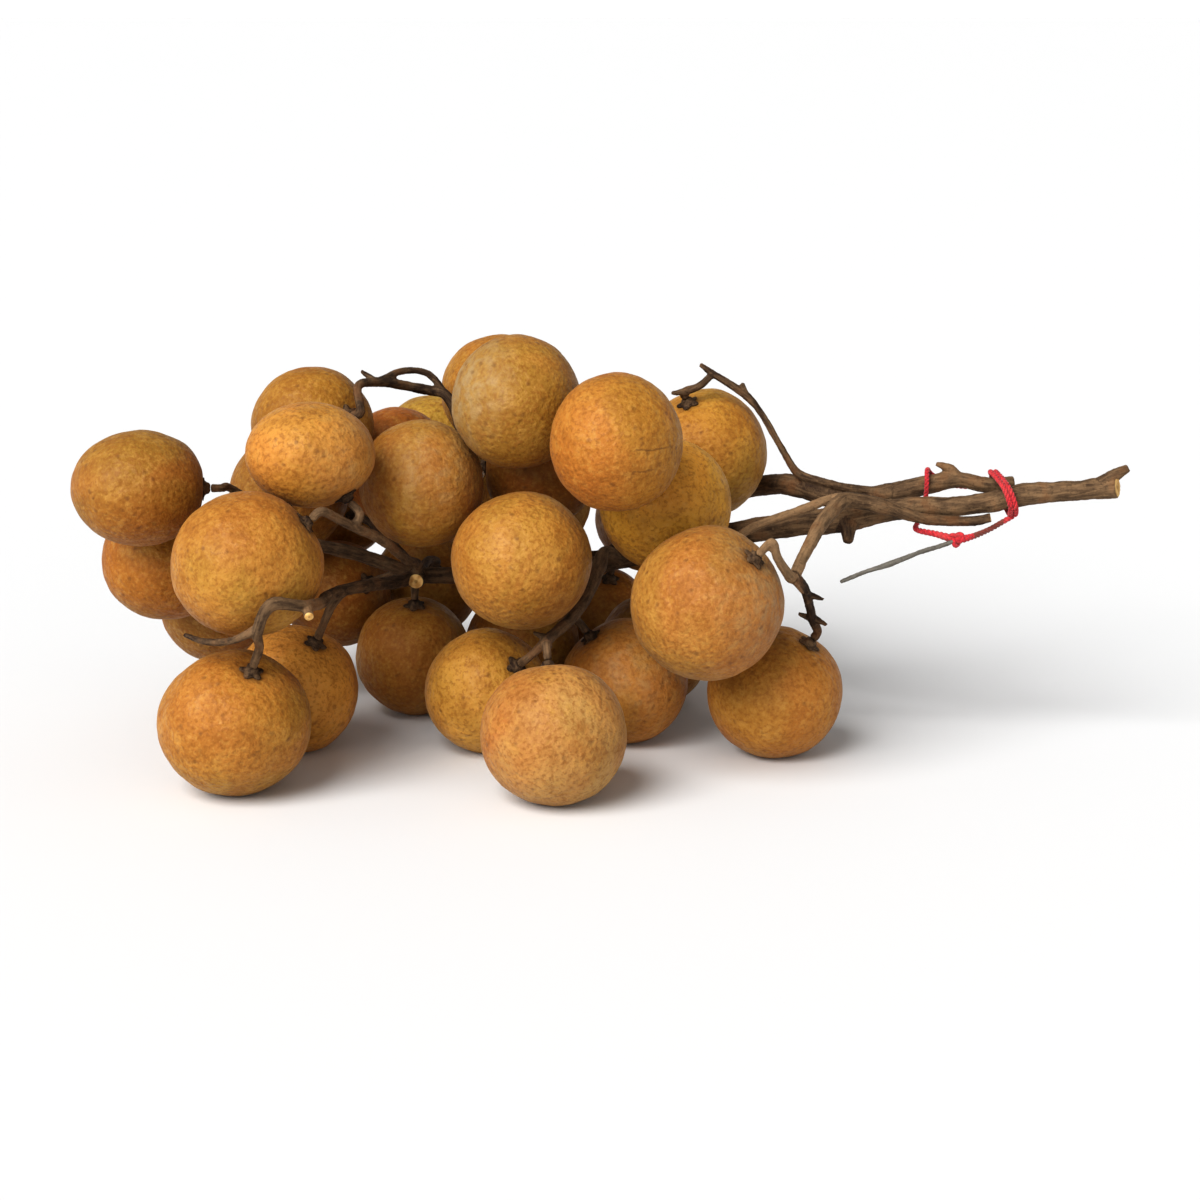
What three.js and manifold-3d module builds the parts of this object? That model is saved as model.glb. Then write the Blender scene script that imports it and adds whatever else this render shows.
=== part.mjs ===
// A bunch of longans: round fruits on three cut stems that a red string ties together.
// Millimetres, +Z up. The bunch lies on its side on a flat surface with its stems
// pointing towards +X, and the lowest fruits rest on small flat spots at z = 0.
import * as THREE from 'three';
import { mergeVertices } from 'three/addons/utils/BufferGeometryUtils.js';
import Module from 'manifold-3d';

const wasm = await Module();
wasm.setup();

// The middle of the bunch in plan, in the coordinates the tables below are written in.
const MIDDLE_X = 1.3;
const MIDDLE_Y = 31.1;

// How far a resting fruit is pressed down, which gives it its flat spot.
const REST = 0.45;
// The width of the block that cuts the flat spot, in half widths of the fruit.
const BLOCK_WIDTH = 3;
// The space left between a fruit and the end of its stalk.
const STALK_GAP = 0.5;
// The least space between a twig and any fruit that it passes.
const TWIG_GAP = 0.45;

// The stem end of a fruit: a shallow hollow inside a low shoulder. Depths and heights
// are shares of the fruit's radius, and angles are in radians from the stem end.
const HOLLOW_DEPTH = 0.045;
const HOLLOW_ANGLE = 0.3;
const SHOULDER_HEIGHT = 0.016;
const SHOULDER_ANGLE = 0.72;
const SHOULDER_SPREAD = 0.3;

// Low waves that keep the fruits from being perfectly round.
const LUMP_HEIGHT = 0.008;
const LUMP_X = 4.6;
const LUMP_Y = 3.8;
const LUMP_Z = 3.1;
const LUMP_UPWARD = 0.6;
const LUMP_PHASE_STEP = 1.7;

// The small cup where a stalk meets its fruit, and the share of it that the stalk
// leaves free.
const CUP_RADIUS = 1.75;
const CUP_HEIGHT = 1.3;
const CUP_SUNK = 0.8;
const CUP_SIDES = 6;
const STALK_RADIUS = 0.85;

// How finely the solids are divided.
const FRUIT_AROUND = 15;
const FRUIT_RINGS = 9;
const TWIG_SIDES = 5;
const SHORT_TWIG = 6;
const LONG_TWIG_STEPS = 2;
const KNOT_AROUND = 10;
const KNOT_RINGS = 7;
const CURVE_TENSION = 0.5;
const RING_THICKNESS = 0.1;
const NEARLY_UPRIGHT = 0.9;
const CLEAR_ROUNDS = 4;
const MERGE_DISTANCE = 1e-4;
const UP = new THREE.Vector3(0, 0, 1);

const SKIN_ROUGHNESS = 0.72;
const BARK_ROUGHNESS = 0.85;
const STRING_ROUGHNESS = 0.8;
const BARK_COLOURS = { stem_long: 0x5b4a38, stem_upper: 0x66523a, stem_front: 0x7a6548 };
const DRY_COLOUR = 0x55524e;
const STRING_COLOUR = 0xb3343a;

// Each fruit: x, y and z of its middle, half its width, half its height, its colour.
// A null z is a fruit that rests on the surface.
const FRUITS = {
  far_left_top: [-88, 10, 54.5, 12.7, 11.1, 0xc48a4c],
  far_left_mid: [-87, 28, 36.5, 12.5, 12.3, 0xb98346],
  far_left_low: [-79.8, 48.2, 22.3, 12.5, 12.5, 0xb07a40],
  left_big: [-65, -9, 44, 14, 13.4, 0xc9924e],
  front_left: [-68.5, -8.5, null, 14.4, 13.7, 0xc08c4c],
  low_left: [-60.5, 18, null, 12.6, 12.6, 0xb4803f],
  top_left_back: [-57, 30, 63, 12, 12, 0xb98548],
  top_left: [-54.5, 5, 62, 12.2, 9.9, 0xc9955a],
  behind_left: [-65, 53, 45, 12.5, 12.5, 0xac763c],
  mid_left: [-35, 22, 53, 12.3, 12.6, 0xc2904e],
  back_red: [-42, 47, 52, 12, 12, 0xb5703a],
  back_green: [-36, 72, 50, 12.5, 12.5, 0xb59a52],
  top: [-16, 18, 69.8, 12.6, 13, 0xc39a62],
  top_back: [-21, 55.3, 65.8, 12, 12, 0xb27b41],
  top_right: [3, 1, 65, 12.5, 13, 0xc99757],
  right_back: [21.5, 46, 54.5, 13, 13.2, 0xbd8a4a],
  right_mid: [13, 21, 49, 13, 13, 0xc18a46],
  centre: [-15, 9, 40.5, 13.6, 13.4, 0xc9985a],
  centre_back: [-12, 37, 53, 11.5, 11.5, 0xa87238],
  right_big: [20, -3, 35, 14.4, 14.6, 0xcb955c],
  right_low: [34.5, 15, null, 13.4, 12.9, 0xc08b4e],
  low_right: [5, 24, null, 12.6, 12.6, 0xbb8446],
  front: [-8.5, -14, null, 13.7, 13.2, 0xc8833f],
  low_middle: [-22.5, 18, null, 12.3, 12.4, 0xc0894a],
  low_back: [-39, 44, null, 12, 12.4, 0xb07f44],
  inner_left: [-56.5, 59.5, 21.5, 11.5, 11.5, 0xac7237],
  inner_right: [11.5, 51, null, 12, 12, 0xb07c40],
  rear_1: [-58, 77.8, 37.5, 12, 12, 0xb78448],
  rear_2: [-16.5, 56, null, 12.2, 12, 0xae7a3e],
  rear_3: [-14, 60, 41.5, 12, 12, 0xbb894b],
  rear_4: [11, 77.5, 34.5, 12, 12.3, 0xb98547],
  rear_5: [-38, 75, 20.5, 11.8, 11.8, 0xb6824a],
  rear_6: [0, 75, null, 12, 12, 0xba8644],
};

// Every twig is a row of points, x, y, z and radius, and may end at a fruit.
// A twig that leads to a fruit gives the fruit its stem end.
const STEM_LONG = [
  { sides: 7, points: [[100.8, 18.9, 52.9, 2.2], [98, 20.2, 52.4, 2.15],
    [93.5, 20.8, 51.9, 2], [88.5, 21.2, 51.4, 2.05], [84, 21.7, 50.9, 2.3],
    [80.5, 22.2, 50.1, 2.3], [76, 22.6, 49.1, 2.05], [69, 23, 48.2, 2], [62, 23.7, 47.9, 2.1],
    [55, 24.4, 46.9, 2.4], [49, 25, 45.3, 2.7], [40, 27, 44, 2.55], [28, 30.5, 41.3, 2.4],
    [16, 36, 38, 2.2], [4, 38, 34, 2], [-9, 38, 31.5, 1.9], [-24, 37, 31, 1.8],
    [-37, 37, 31, 1.7]] },
  { points: [[98, 20.2, 53, 1.8], [100.3, 20, 55, 1.35], [102.9, 19.8, 56.6, 0.8]] },
  { points: [[49, 25, 45.3, 1.9], [49, 23, 43.3, 1.5], [48.8, 21.5, 41.3, 0.9]] },
  { points: [[-37, 37, 31, 1.7], [-37, 34, 31, 1.7], [-37.2, 31.5, 31, 1.75]] },
  { points: [[-37, 35, 32, 0.8], [-37, 33.6, 34, 0.5], [-37.2, 33, 35.6, 0.35]] },
  { points: [[-37, 37, 31, 1.5], [-40.5, 29, 31.6, 1.4], [-45, 18, 33.5, 1.3],
    [-49, 8, 35, 1.2], [-50.9, -2, 36.3, 1.15], [-51.3, -9, 37.3, 1.1],
    [-53.3, -18.5, 38.5, 1.1], [-58.7, -23.5, 40, 1.2], [-61.5, -22.5, 35, 1],
    [-62.3, -16, 30, 0.85]], to: 'front_left' },
  { points: [[-61.3, -22.6, 35.5, 0.9], [-66.5, -19.5, 32.3, 0.75], [-72, -15.5, 31, 0.65],
    [-77, -9, 30.5, 0.45]] },
  { points: [[-53, -17, 38.5, 1], [-52.7, -19.5, 37.9, 1], [-52.3, -21.5, 37.2, 1]] },
  { points: [[-49, 8, 35, 1], [-52, 11, 31, 0.85]], to: 'low_left' },
  { points: [[-37, 36, 31.5, 1.1], [-36.8, 30, 35, 1], [-38.3, 20, 38.4, 1],
    [-42, 8, 45, 1], [-47.5, -2, 50.3, 0.95], [-51, -8, 53.8, 0.85]], to: 'left_big' },
  { points: [[-46, 0.5, 49.3, 0.9], [-45, 0.5, 51.5, 0.85]], to: 'top_left' },
  { points: [[-37, 37, 31, 1.5], [-50, 33, 36.5, 1.4], [-64, 23, 42, 1.3]] },
  { points: [[-64, 23, 42, 1], [-69, 21, 49.5, 0.9], [-72, 18, 53, 0.8],
    [-73, 13.5, 53.8, 0.8]], to: 'far_left_top' },
  { points: [[-64, 23, 42, 1], [-71, 25, 40.5, 0.85]], to: 'far_left_mid' },
  { points: [[-64, 23, 42, 1], [-68, 29, 35.5, 0.9], [-71.5, 34.5, 31, 0.85]],
    to: 'far_left_low' },
  { points: [[-64, 23, 42, 1], [-64.5, 35, 43, 0.85]], to: 'behind_left' },
  { points: [[-37, 37, 31, 1.2], [-44, 50, 35.5, 0.9], [-49, 60, 37, 0.85]], to: 'rear_1' },
  { points: [[-37, 37, 31, 1.2], [-40, 42, 30, 0.9], [-44, 47, 28.5, 0.85]],
    to: 'inner_left' },
  { points: [[-37, 37, 31, 1.2], [-36, 48, 31.5, 0.9], [-34.5, 54, 30, 0.85]],
    to: 'rear_5' },
  { points: [[-37, 37, 31, 1.1], [-38, 40, 28.5, 0.85]], to: 'low_back' },
  { points: [[-26, 37, 31, 1.5], [-27, 38.5, 40, 1.4], [-27, 38.5, 52, 1.3],
    [-28.5, 40, 62, 1.2], [-31, 41, 67.3, 1.1], [-34.4, 41.5, 68.3, 1], [-40, 38, 70, 1],
    [-44.3, 31, 71.7, 0.95], [-47.2, 24.5, 71.8, 0.9], [-46.3, 19.8, 67.5, 0.85]],
    to: 'top_left_back' },
  { points: [[-30.5, 41, 66.5, 0.8], [-34.4, 42, 71.4, 0.7], [-39.4, 40, 72.6, 0.7],
    [-43.6, 33, 71.8, 0.7]] },
  { points: [[-44.3, 31, 71.7, 0.8], [-46, 32.5, 72.7, 0.6], [-47.4, 33.6, 73.5, 0.4]] },
  { points: [[-27, 38.5, 42, 1], [-28, 35.5, 44.5, 0.85]], to: 'mid_left' },
  { points: [[-27, 38.5, 50, 1], [-28.3, 39.4, 50, 0.9]], to: 'back_red' },
  { points: [[-27, 38.5, 54, 1], [-25.8, 38.2, 53.8, 0.9]], to: 'centre_back' },
  { points: [[-27.7, 39, 57, 1], [-29, 47.5, 55.5, 0.9], [-30, 55, 54, 0.85]],
    to: 'back_green' },
  { points: [[-28.5, 40, 62, 1], [-27.8, 42, 62.3, 0.9]], to: 'top_back' },
  { points: [[-28.3, 39.7, 60, 1], [-26, 35, 62, 0.9], [-24.5, 32, 63.2, 0.85]], to: 'top' },
  { points: [[-9, 38, 31.5, 1.1], [-11.5, 44, 28.5, 0.85]], to: 'rear_2' },
  { points: [[-9, 38, 31.5, 1.1], [-11, 30, 33, 0.85]], to: 'centre' },
  { points: [[4, 38, 34, 1.3], [5, 35, 40, 0.95], [3, 32, 48, 0.9], [-1, 28, 55, 0.9],
    [0, 22, 57.5, 0.85]], to: 'top_right' },
  { points: [[4, 38, 34, 1.5], [1, 34, 36.5, 1.3], [-0.4, 30, 33.8, 1.55],
    [-3, 24, 29.3, 1.3], [-6, 17, 26.7, 1.2], [-10, 8, 25.2, 1.1], [-10, -1, 26.3, 0.95],
    [-10, -6, 27.5, 0.85]], to: 'front' },
  { points: [[-10, 8, 25.2, 1], [-13, 7, 22.5, 0.85]], to: 'low_middle' },
  { points: [[-5.5, 18.5, 27, 1], [-4.2, 21.3, 25.2, 0.85]], to: 'low_right' },
  { points: [[-9.8, 8.5, 25.2, 0.9], [-11.5, 7.8, 26, 0.6], [-12.9, 7.2, 26.8, 0.35]] },
];

const STEM_UPPER = [
  { sides: 7, points: [[82, 26.6, 52.1, 1.5], [79, 26.8, 51.8, 1.6], [75.8, 27.2, 51.8, 1.6],
    [71.5, 28, 52.6, 1.6], [68, 28.5, 52.2, 1.8], [64, 29.2, 51.1, 2], [60, 30.2, 49.9, 2.1],
    [54, 32.5, 48.2, 2.2], [48, 35.5, 47.2, 2.2], [41, 41, 48.6, 2.3],
    [35.8, 50, 47.3, 2.2], [27.5, 58, 44, 2], [17, 61, 40, 1.9], [9, 59, 37, 1.8]] },
  { points: [[70.6, 28.3, 53, 1.4], [69.4, 28.3, 54.8, 1], [66.6, 28.3, 55.8, 0.45]] },
  { points: [[59, 30.3, 49.7, 1.2], [55, 31, 49.8, 0.95], [50, 32.8, 50, 0.85],
    [44.5, 37, 50.5, 0.85], [40.4, 39, 51.6, 0.95], [38, 39.5, 54.8, 0.75],
    [32.9, 40, 63.4, 0.7], [29.8, 40, 67.2, 0.85], [25.2, 40, 70.5, 0.8],
    [22.5, 40, 72.1, 0.75], [20.1, 40, 73.9, 0.45]] },
  { points: [[29.5, 40, 67.4, 0.75], [29, 40, 69, 0.55], [28.7, 40, 70.2, 0.4]] },
  { points: [[22.7, 40, 72, 0.75], [20.1, 40, 69.5, 0.8], [17, 40.5, 68.2, 0.85]],
    to: 'right_back' },
  { points: [[17.6, 40.3, 68.4, 0.8], [15.8, 39.8, 68.2, 0.6], [14.3, 39.6, 68.1, 0.4]] },
  { points: [[17, 61, 40, 1.1], [16.7, 63, 39.4, 0.9]], to: 'rear_4' },
  { points: [[9, 59, 37, 1.2], [2, 58, 31.5, 0.9], [-2.5, 60, 30.2, 0.85]], to: 'rear_3' },
  { points: [[9, 59, 37, 1.2], [6, 63, 31, 0.9], [3, 69, 27, 0.85]], to: 'rear_6' },
  { points: [[9, 59, 37, 1.2], [10, 57, 31, 0.9], [11, 54, 27.5, 0.85]],
    to: 'inner_right' },
];

const STEM_FRONT = [
  { sides: 6, points: [[76.5, 20, 46.6, 0.95], [73.4, 20.1, 46, 1], [68.5, 20, 46, 1.05],
    [63.6, 19.8, 46.4, 1.1], [59.5, 19, 47.6, 1.3], [55, 18.4, 49.2, 1.5],
    [51, 18.4, 50.2, 1.6], [47, 17, 50.6, 1.55], [43, 11, 48.1, 1.45],
    [40.2, 5, 45.5, 1.3], [38, 0, 43, 1.15], [36, -4, 40.3, 1.1], [34.4, -6.5, 42.2, 0.95],
    [32.6, -8.6, 45.4, 0.9], [31.5, -10, 48.4, 0.85]], to: 'right_big' },
  { points: [[50.5, 18.7, 50.3, 1.3], [45.5, 20.3, 50.4, 0.95], [39.3, 21.3, 47.8, 0.9],
    [28.6, 23, 43.1, 0.9], [21, 22, 36, 0.85], [17, 21, 32.5, 0.85]], to: 'right_mid' },
  { points: [[36.3, -3.5, 40.5, 1.1], [39, 2, 36.1, 0.95], [41.1, 9, 28.8, 0.9],
    [42.3, 11.4, 25.8, 0.85]], to: 'right_low' },
  { points: [[39.4, 3, 35.4, 0.8], [41, 3, 34.9, 0.6], [42.6, 3, 34.3, 0.35]] },
  { points: [[41, 8.5, 29.4, 0.8], [42.4, 8.4, 28.7, 0.6], [43.8, 8.3, 27.9, 0.35]] },
  { points: [[41, 9, 29.2, 0.8], [39.5, 8.5, 29.7, 0.6], [38.2, 8, 30.3, 0.35]] },
  { points: [[36, -4, 40.3, 0.9], [37, -5.5, 39, 0.6], [37.8, -6.6, 37.8, 0.35]] },
];

const DRY_TWIG = [
  { points: [[66.7, 16, 42, 0.5], [61.5, 13.5, 41, 0.45], [56.1, 11, 39.5, 0.6],
    [50.8, 8.5, 38.4, 0.42], [46, 6, 37.1, 0.4]] },
];

// The string: a tight turn round the cut ends, then a strand that runs back behind the
// upper stem, over it, down behind the long stem and under it to a knot, and from the
// knot back to the turn.
const STRING = [
  { closed: true, points: [[80.8, 19, 48.4, 0.95], [80.2, 18.6, 50.4, 0.95],
    [79.3, 19.7, 52.7, 0.95], [78.4, 22.4, 54.1, 0.95], [77.6, 26, 54.8, 0.95],
    [78, 29, 54, 0.95], [79, 29.8, 51.6, 0.95], [80, 28.6, 49.2, 0.95],
    [81, 25.3, 47.1, 0.95], [81.2, 21.8, 46.5, 0.95]] },
  { points: [[80, 29.4, 50.3, 0.5], [75.3, 30.4, 50.6, 0.5], [70, 31.2, 51, 0.5],
    [66.3, 31.5, 53, 0.5], [65, 28.7, 54.5, 0.5], [64.6, 26.1, 52.6, 0.5],
    [64.5, 26.3, 49.5, 0.5], [63.8, 26.4, 46.6, 0.5], [62.8, 24.3, 44.7, 0.5],
    [62.2, 21.2, 44, 0.55], [65.5, 18.6, 43.7, 0.65], [69.5, 17, 43, 0.9],
    [72.4, 17.6, 43.3, 0.65], [76, 20, 44.1, 0.55], [79, 21.4, 45.4, 0.55],
    [81.1, 21.9, 46.5, 0.55]] },
];
const KNOT = { x: 69.5, y: 17, z: 43, radius: 1.6 };

function solidFrom(geometry) {
  const bare = geometry.index ? geometry.toNonIndexed() : geometry.clone();
  bare.deleteAttribute('normal');
  bare.deleteAttribute('uv');
  const merged = mergeVertices(bare, MERGE_DISTANCE);
  return new wasm.Manifold(new wasm.Mesh({
    numProp: 3,
    vertProperties: new Float32Array(merged.attributes.position.array),
    triVerts: new Uint32Array(merged.index.array),
  }));
}

function geometryFrom(solid) {
  const mesh = solid.getMesh();
  const geometry = new THREE.BufferGeometry();
  geometry.setAttribute('position', new THREE.BufferAttribute(mesh.vertProperties, 3));
  geometry.setIndex(new THREE.BufferAttribute(mesh.triVerts, 1));
  return geometry;
}

// The fruits as records: middle, half sizes, stem direction and a phase for the lumps.
const fruits = {};
Object.entries(FRUITS).forEach(([name, row], index) => {
  const [x, y, z, width, height, colour] = row;
  const rests = z === null;
  fruits[name] = {
    middle: new THREE.Vector3(x, y, rests ? height - REST : z),
    width,
    height,
    colour,
    rests,
    phase: index * LUMP_PHASE_STEP,
    stemEnd: UP.clone(),
  };
});

const STEMS = {
  stem_long: STEM_LONG,
  stem_upper: STEM_UPPER,
  stem_front: STEM_FRONT,
};

// A fruit's stem end looks at the last point of the twig that leads to it.
Object.values(STEMS).flat().filter((twig) => twig.to).forEach((twig) => {
  const fruit = fruits[twig.to];
  const [x, y, z] = twig.points[twig.points.length - 1];
  fruit.stemEnd.set(x, y, z).sub(fruit.middle).normalize();
});

// The distance from the middle of a fruit to its skin along a unit direction.
function skinRadius(fruit, direction) {
  const flat = (direction.x ** 2 + direction.y ** 2) / fruit.width ** 2;
  const upright = direction.z ** 2 / fruit.height ** 2;
  const oval = 1 / Math.sqrt(flat + upright);
  const angle = direction.angleTo(fruit.stemEnd);
  const hollow = HOLLOW_DEPTH * Math.exp(-((angle / HOLLOW_ANGLE) ** 2));
  const ring = (angle - SHOULDER_ANGLE) / SHOULDER_SPREAD;
  const shoulder = SHOULDER_HEIGHT * Math.exp(-(ring ** 2));
  const across = Math.sin(LUMP_X * direction.x + fruit.phase)
    * Math.cos(LUMP_Y * direction.y - fruit.phase);
  const upward = LUMP_UPWARD * Math.sin(LUMP_Z * direction.z + 2 * fruit.phase);
  return oval * (1 + shoulder - hollow + LUMP_HEIGHT * (across + upward));
}

// Moves a point that is too near a fruit straight away from the fruit's skin.
function keepClear(point, radius, ownFruit) {
  for (let round = 0; round < CLEAR_ROUNDS; round += 1) {
    Object.entries(fruits).forEach(([name, fruit]) => {
      if (name === ownFruit) return;
      const direction = point.clone().sub(fruit.middle);
      const distance = direction.length();
      direction.divideScalar(distance);
      const least = skinRadius(fruit, direction) + radius + TWIG_GAP;
      if (distance < least) point.copy(fruit.middle).addScaledVector(direction, least);
    });
  }
  return point;
}

// The smooth line of a twig: points along it, each with the twig's radius there.
function twigLine(twig) {
  const rows = twig.points.map(([x, y, z, radius]) => ({
    point: new THREE.Vector3(x, y, z),
    radius,
  }));
  if (twig.to) {
    const fruit = fruits[twig.to];
    const insideCup = skinRadius(fruit, fruit.stemEnd) + STALK_GAP + CUP_HEIGHT * CUP_SUNK;
    rows.push({
      point: fruit.middle.clone().addScaledVector(fruit.stemEnd, insideCup),
      radius: STALK_RADIUS,
    });
  }
  const closed = Boolean(twig.closed);
  const curve = new THREE.CatmullRomCurve3(rows.map((row) => row.point), closed,
    'catmullrom', CURVE_TENSION);
  const spans = closed ? rows.length : rows.length - 1;
  const steps = spans * (rows.length > SHORT_TWIG ? LONG_TWIG_STEPS : 1);
  const line = [];
  for (let i = 0; i <= steps; i += 1) {
    const place = (i / steps) * spans;
    const from = Math.min(Math.floor(place), spans - 1);
    const first = rows[from].radius;
    const second = rows[(from + 1) % rows.length].radius;
    const radius = first + (second - first) * (place - from);
    line.push({ point: keepClear(curve.getPoint(i / steps), radius, twig.to), radius });
  }
  return line;
}

// Adds to each point of a line two unit vectors square to the line, with no twist.
function addSides(line, closed) {
  const last = line.length - 1;
  let across = UP.clone();
  line.forEach((entry, i) => {
    const before = closed && i === 0 ? line[last - 1] : line[Math.max(i - 1, 0)];
    const after = closed && i === last ? line[1] : line[Math.min(i + 1, last)];
    const ahead = after.point.clone().sub(before.point).normalize();
    if (i === 0 && Math.abs(ahead.z) > NEARLY_UPRIGHT) across.set(1, 0, 0);
    across = across.clone().addScaledVector(ahead, -across.dot(ahead)).normalize();
    entry.across = across;
    entry.aside = ahead.clone().cross(across);
  });
}

function placeVertex(positions, index, entry, acrossShare, asideShare) {
  const place = entry.point.clone()
    .addScaledVector(entry.across, acrossShare * entry.radius)
    .addScaledVector(entry.aside, asideShare * entry.radius);
  positions.setXYZ(index, place.x, place.y, place.z);
}

// Bends an upright cylinder along a line of points.
function bentCylinder(line, sides) {
  addSides(line, false);
  const count = line.length - 1;
  const tube = new THREE.CylinderGeometry(1, 1, 1, sides, count);
  const positions = tube.attributes.position;
  for (let i = 0; i < positions.count; i += 1) {
    const entry = line[Math.round((positions.getY(i) + 0.5) * count)];
    placeVertex(positions, i, entry, positions.getZ(i), positions.getX(i));
  }
  return tube;
}

// Bends a flat ring along a closed line of points.
function bentRing(line, sides) {
  addSides(line, true);
  const count = line.length - 1;
  const ring = new THREE.TorusGeometry(1, RING_THICKNESS, sides, count);
  const positions = ring.attributes.position;
  for (let i = 0; i < positions.count; i += 1) {
    const x = positions.getX(i);
    const y = positions.getY(i);
    const step = Math.round((Math.atan2(y, x) / (2 * Math.PI)) * count);
    const outward = (Math.hypot(x, y) - 1) / RING_THICKNESS;
    const entry = line[(step + count) % count];
    placeVertex(positions, i, entry, positions.getZ(i) / RING_THICKNESS, outward);
  }
  return ring;
}

// The cup that a stalk ends in, just clear of its fruit.
function cupGeometry(fruit) {
  const cup = new THREE.CylinderGeometry(STALK_RADIUS, CUP_RADIUS, CUP_HEIGHT, CUP_SIDES);
  cup.translate(0, skinRadius(fruit, fruit.stemEnd) + STALK_GAP + CUP_HEIGHT / 2, 0);
  cup.applyQuaternion(turnedTo(fruit.stemEnd));
  cup.translate(fruit.middle.x, fruit.middle.y, fruit.middle.z);
  return cup;
}

// The turn that brings a three.js shape's own upward axis, +Y, to a direction.
function turnedTo(direction) {
  return new THREE.Quaternion().setFromUnitVectors(new THREE.Vector3(0, 1, 0), direction);
}

// One body of all the twigs of a stem, with the cups at their ends.
function joinedTwigs(twigs) {
  const solids = [];
  twigs.forEach((twig) => {
    const line = twigLine(twig);
    const sides = twig.sides || TWIG_SIDES;
    solids.push(solidFrom(twig.closed ? bentRing(line, sides) : bentCylinder(line, sides)));
    if (twig.to) solids.push(solidFrom(cupGeometry(fruits[twig.to])));
  });
  return solids.reduce((whole, solid) => whole.add(solid));
}

function knotSolid() {
  const knot = new THREE.SphereGeometry(KNOT.radius, KNOT_AROUND, KNOT_RINGS);
  knot.translate(KNOT.x, KNOT.y, KNOT.z);
  return solidFrom(knot);
}

// A round fruit with its pole at the stem end, around its own middle. A resting
// fruit is cut flat where it lies on the surface.
function fruitGeometry(fruit) {
  const ball = new THREE.SphereGeometry(1, FRUIT_AROUND, FRUIT_RINGS);
  ball.applyQuaternion(turnedTo(fruit.stemEnd));
  const positions = ball.attributes.position;
  const direction = new THREE.Vector3();
  for (let i = 0; i < positions.count; i += 1) {
    direction.fromBufferAttribute(positions, i).normalize();
    direction.multiplyScalar(skinRadius(fruit, direction));
    positions.setXYZ(i, direction.x, direction.y, direction.z);
  }
  let solid = solidFrom(ball);
  if (fruit.rests) {
    const size = BLOCK_WIDTH * fruit.width;
    const below = new THREE.BoxGeometry(size, size, size);
    below.translate(0, 0, -fruit.middle.z - size / 2);
    solid = solid.subtract(solidFrom(below));
  }
  return geometryFrom(solid);
}

function addMesh(group, name, geometry, colour, roughness) {
  geometry.computeVertexNormals();
  const material = new THREE.MeshStandardMaterial({ color: colour, roughness, metalness: 0 });
  const mesh = new THREE.Mesh(geometry, material);
  mesh.name = name;
  group.add(mesh);
  return mesh;
}

const fruitGroup = new THREE.Group();
Object.entries(fruits).forEach(([name, fruit]) => {
  const mesh = addMesh(fruitGroup, `fruit_${name}`, fruitGeometry(fruit), fruit.colour,
    SKIN_ROUGHNESS);
  mesh.position.copy(fruit.middle);
});

const stemGroup = new THREE.Group();
Object.entries(STEMS).forEach(([name, twigs]) => {
  addMesh(stemGroup, name, geometryFrom(joinedTwigs(twigs)), BARK_COLOURS[name],
    BARK_ROUGHNESS);
});
addMesh(stemGroup, 'dry_twig', geometryFrom(joinedTwigs(DRY_TWIG)), DRY_COLOUR,
  BARK_ROUGHNESS);
addMesh(stemGroup, 'string_tie', geometryFrom(joinedTwigs(STRING).add(knotSolid())),
  STRING_COLOUR, STRING_ROUGHNESS);

const bunch = new THREE.Group();
bunch.add(fruitGroup, stemGroup);
bunch.position.set(-MIDDLE_X, -MIDDLE_Y, 0);

const part = new THREE.Group();
part.add(bunch);

export default part;
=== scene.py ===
# A bunch of longans lying on its side: round fruits on three cut woody stems, tied
# together with a red string.
import math

import bmesh
import bpy
import numpy as np
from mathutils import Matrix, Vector, kdtree, noise


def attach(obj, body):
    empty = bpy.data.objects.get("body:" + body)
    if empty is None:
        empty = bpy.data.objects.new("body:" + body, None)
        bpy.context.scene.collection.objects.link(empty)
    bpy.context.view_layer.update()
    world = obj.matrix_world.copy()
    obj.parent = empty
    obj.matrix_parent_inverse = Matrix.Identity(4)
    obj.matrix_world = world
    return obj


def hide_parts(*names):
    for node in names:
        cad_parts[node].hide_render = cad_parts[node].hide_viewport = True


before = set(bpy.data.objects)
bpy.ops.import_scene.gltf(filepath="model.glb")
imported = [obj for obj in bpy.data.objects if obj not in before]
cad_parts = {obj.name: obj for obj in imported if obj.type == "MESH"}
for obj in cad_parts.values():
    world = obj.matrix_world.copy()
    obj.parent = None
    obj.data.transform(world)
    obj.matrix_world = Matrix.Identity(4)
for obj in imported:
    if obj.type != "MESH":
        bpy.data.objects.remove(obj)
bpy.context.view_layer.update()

MM = 0.001

# The middle of the bunch in plan, in the coordinates the tables below are written in.
MIDDLE = Vector((1.3, 31.1, 0.0))

# How far a resting fruit is pressed down, and the space round stalks and twigs, in mm.
REST = 0.45
STALK_GAP = 0.5
TWIG_GAP = 0.45

# Twigs are moved clear of the fruits in a few passes. A fruit counts as near within this
# share of its half width.
CLEAR_PASSES = 4
NEAR_SHARE = 1.05

# The stem end of a fruit: a shallow hollow inside a low shoulder. Depths and heights
# are shares of the fruit's radius, and angles are in radians from the stem end.
HOLLOW_DEPTH = 0.045
HOLLOW_ANGLE = 0.3
SHOULDER_HEIGHT = 0.016
SHOULDER_ANGLE = 0.72
SHOULDER_SPREAD = 0.3
LUMP_HEIGHT = 0.008
LUMP_X = 4.6
LUMP_Y = 3.8
LUMP_Z = 3.1
LUMP_UPWARD = 0.6
LUMP_PHASE_STEP = 1.7
STEM_END_SPREAD = 0.24

# Small dents and ripples of the skin: how many to the mm, and how high, in mm.
DENT_SCALE = 0.16
DENT_HEIGHT = 0.22
RIPPLE_SCALE = 0.55
RIPPLE_HEIGHT = 0.07
RELIEF_DROP = 0.08

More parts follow.
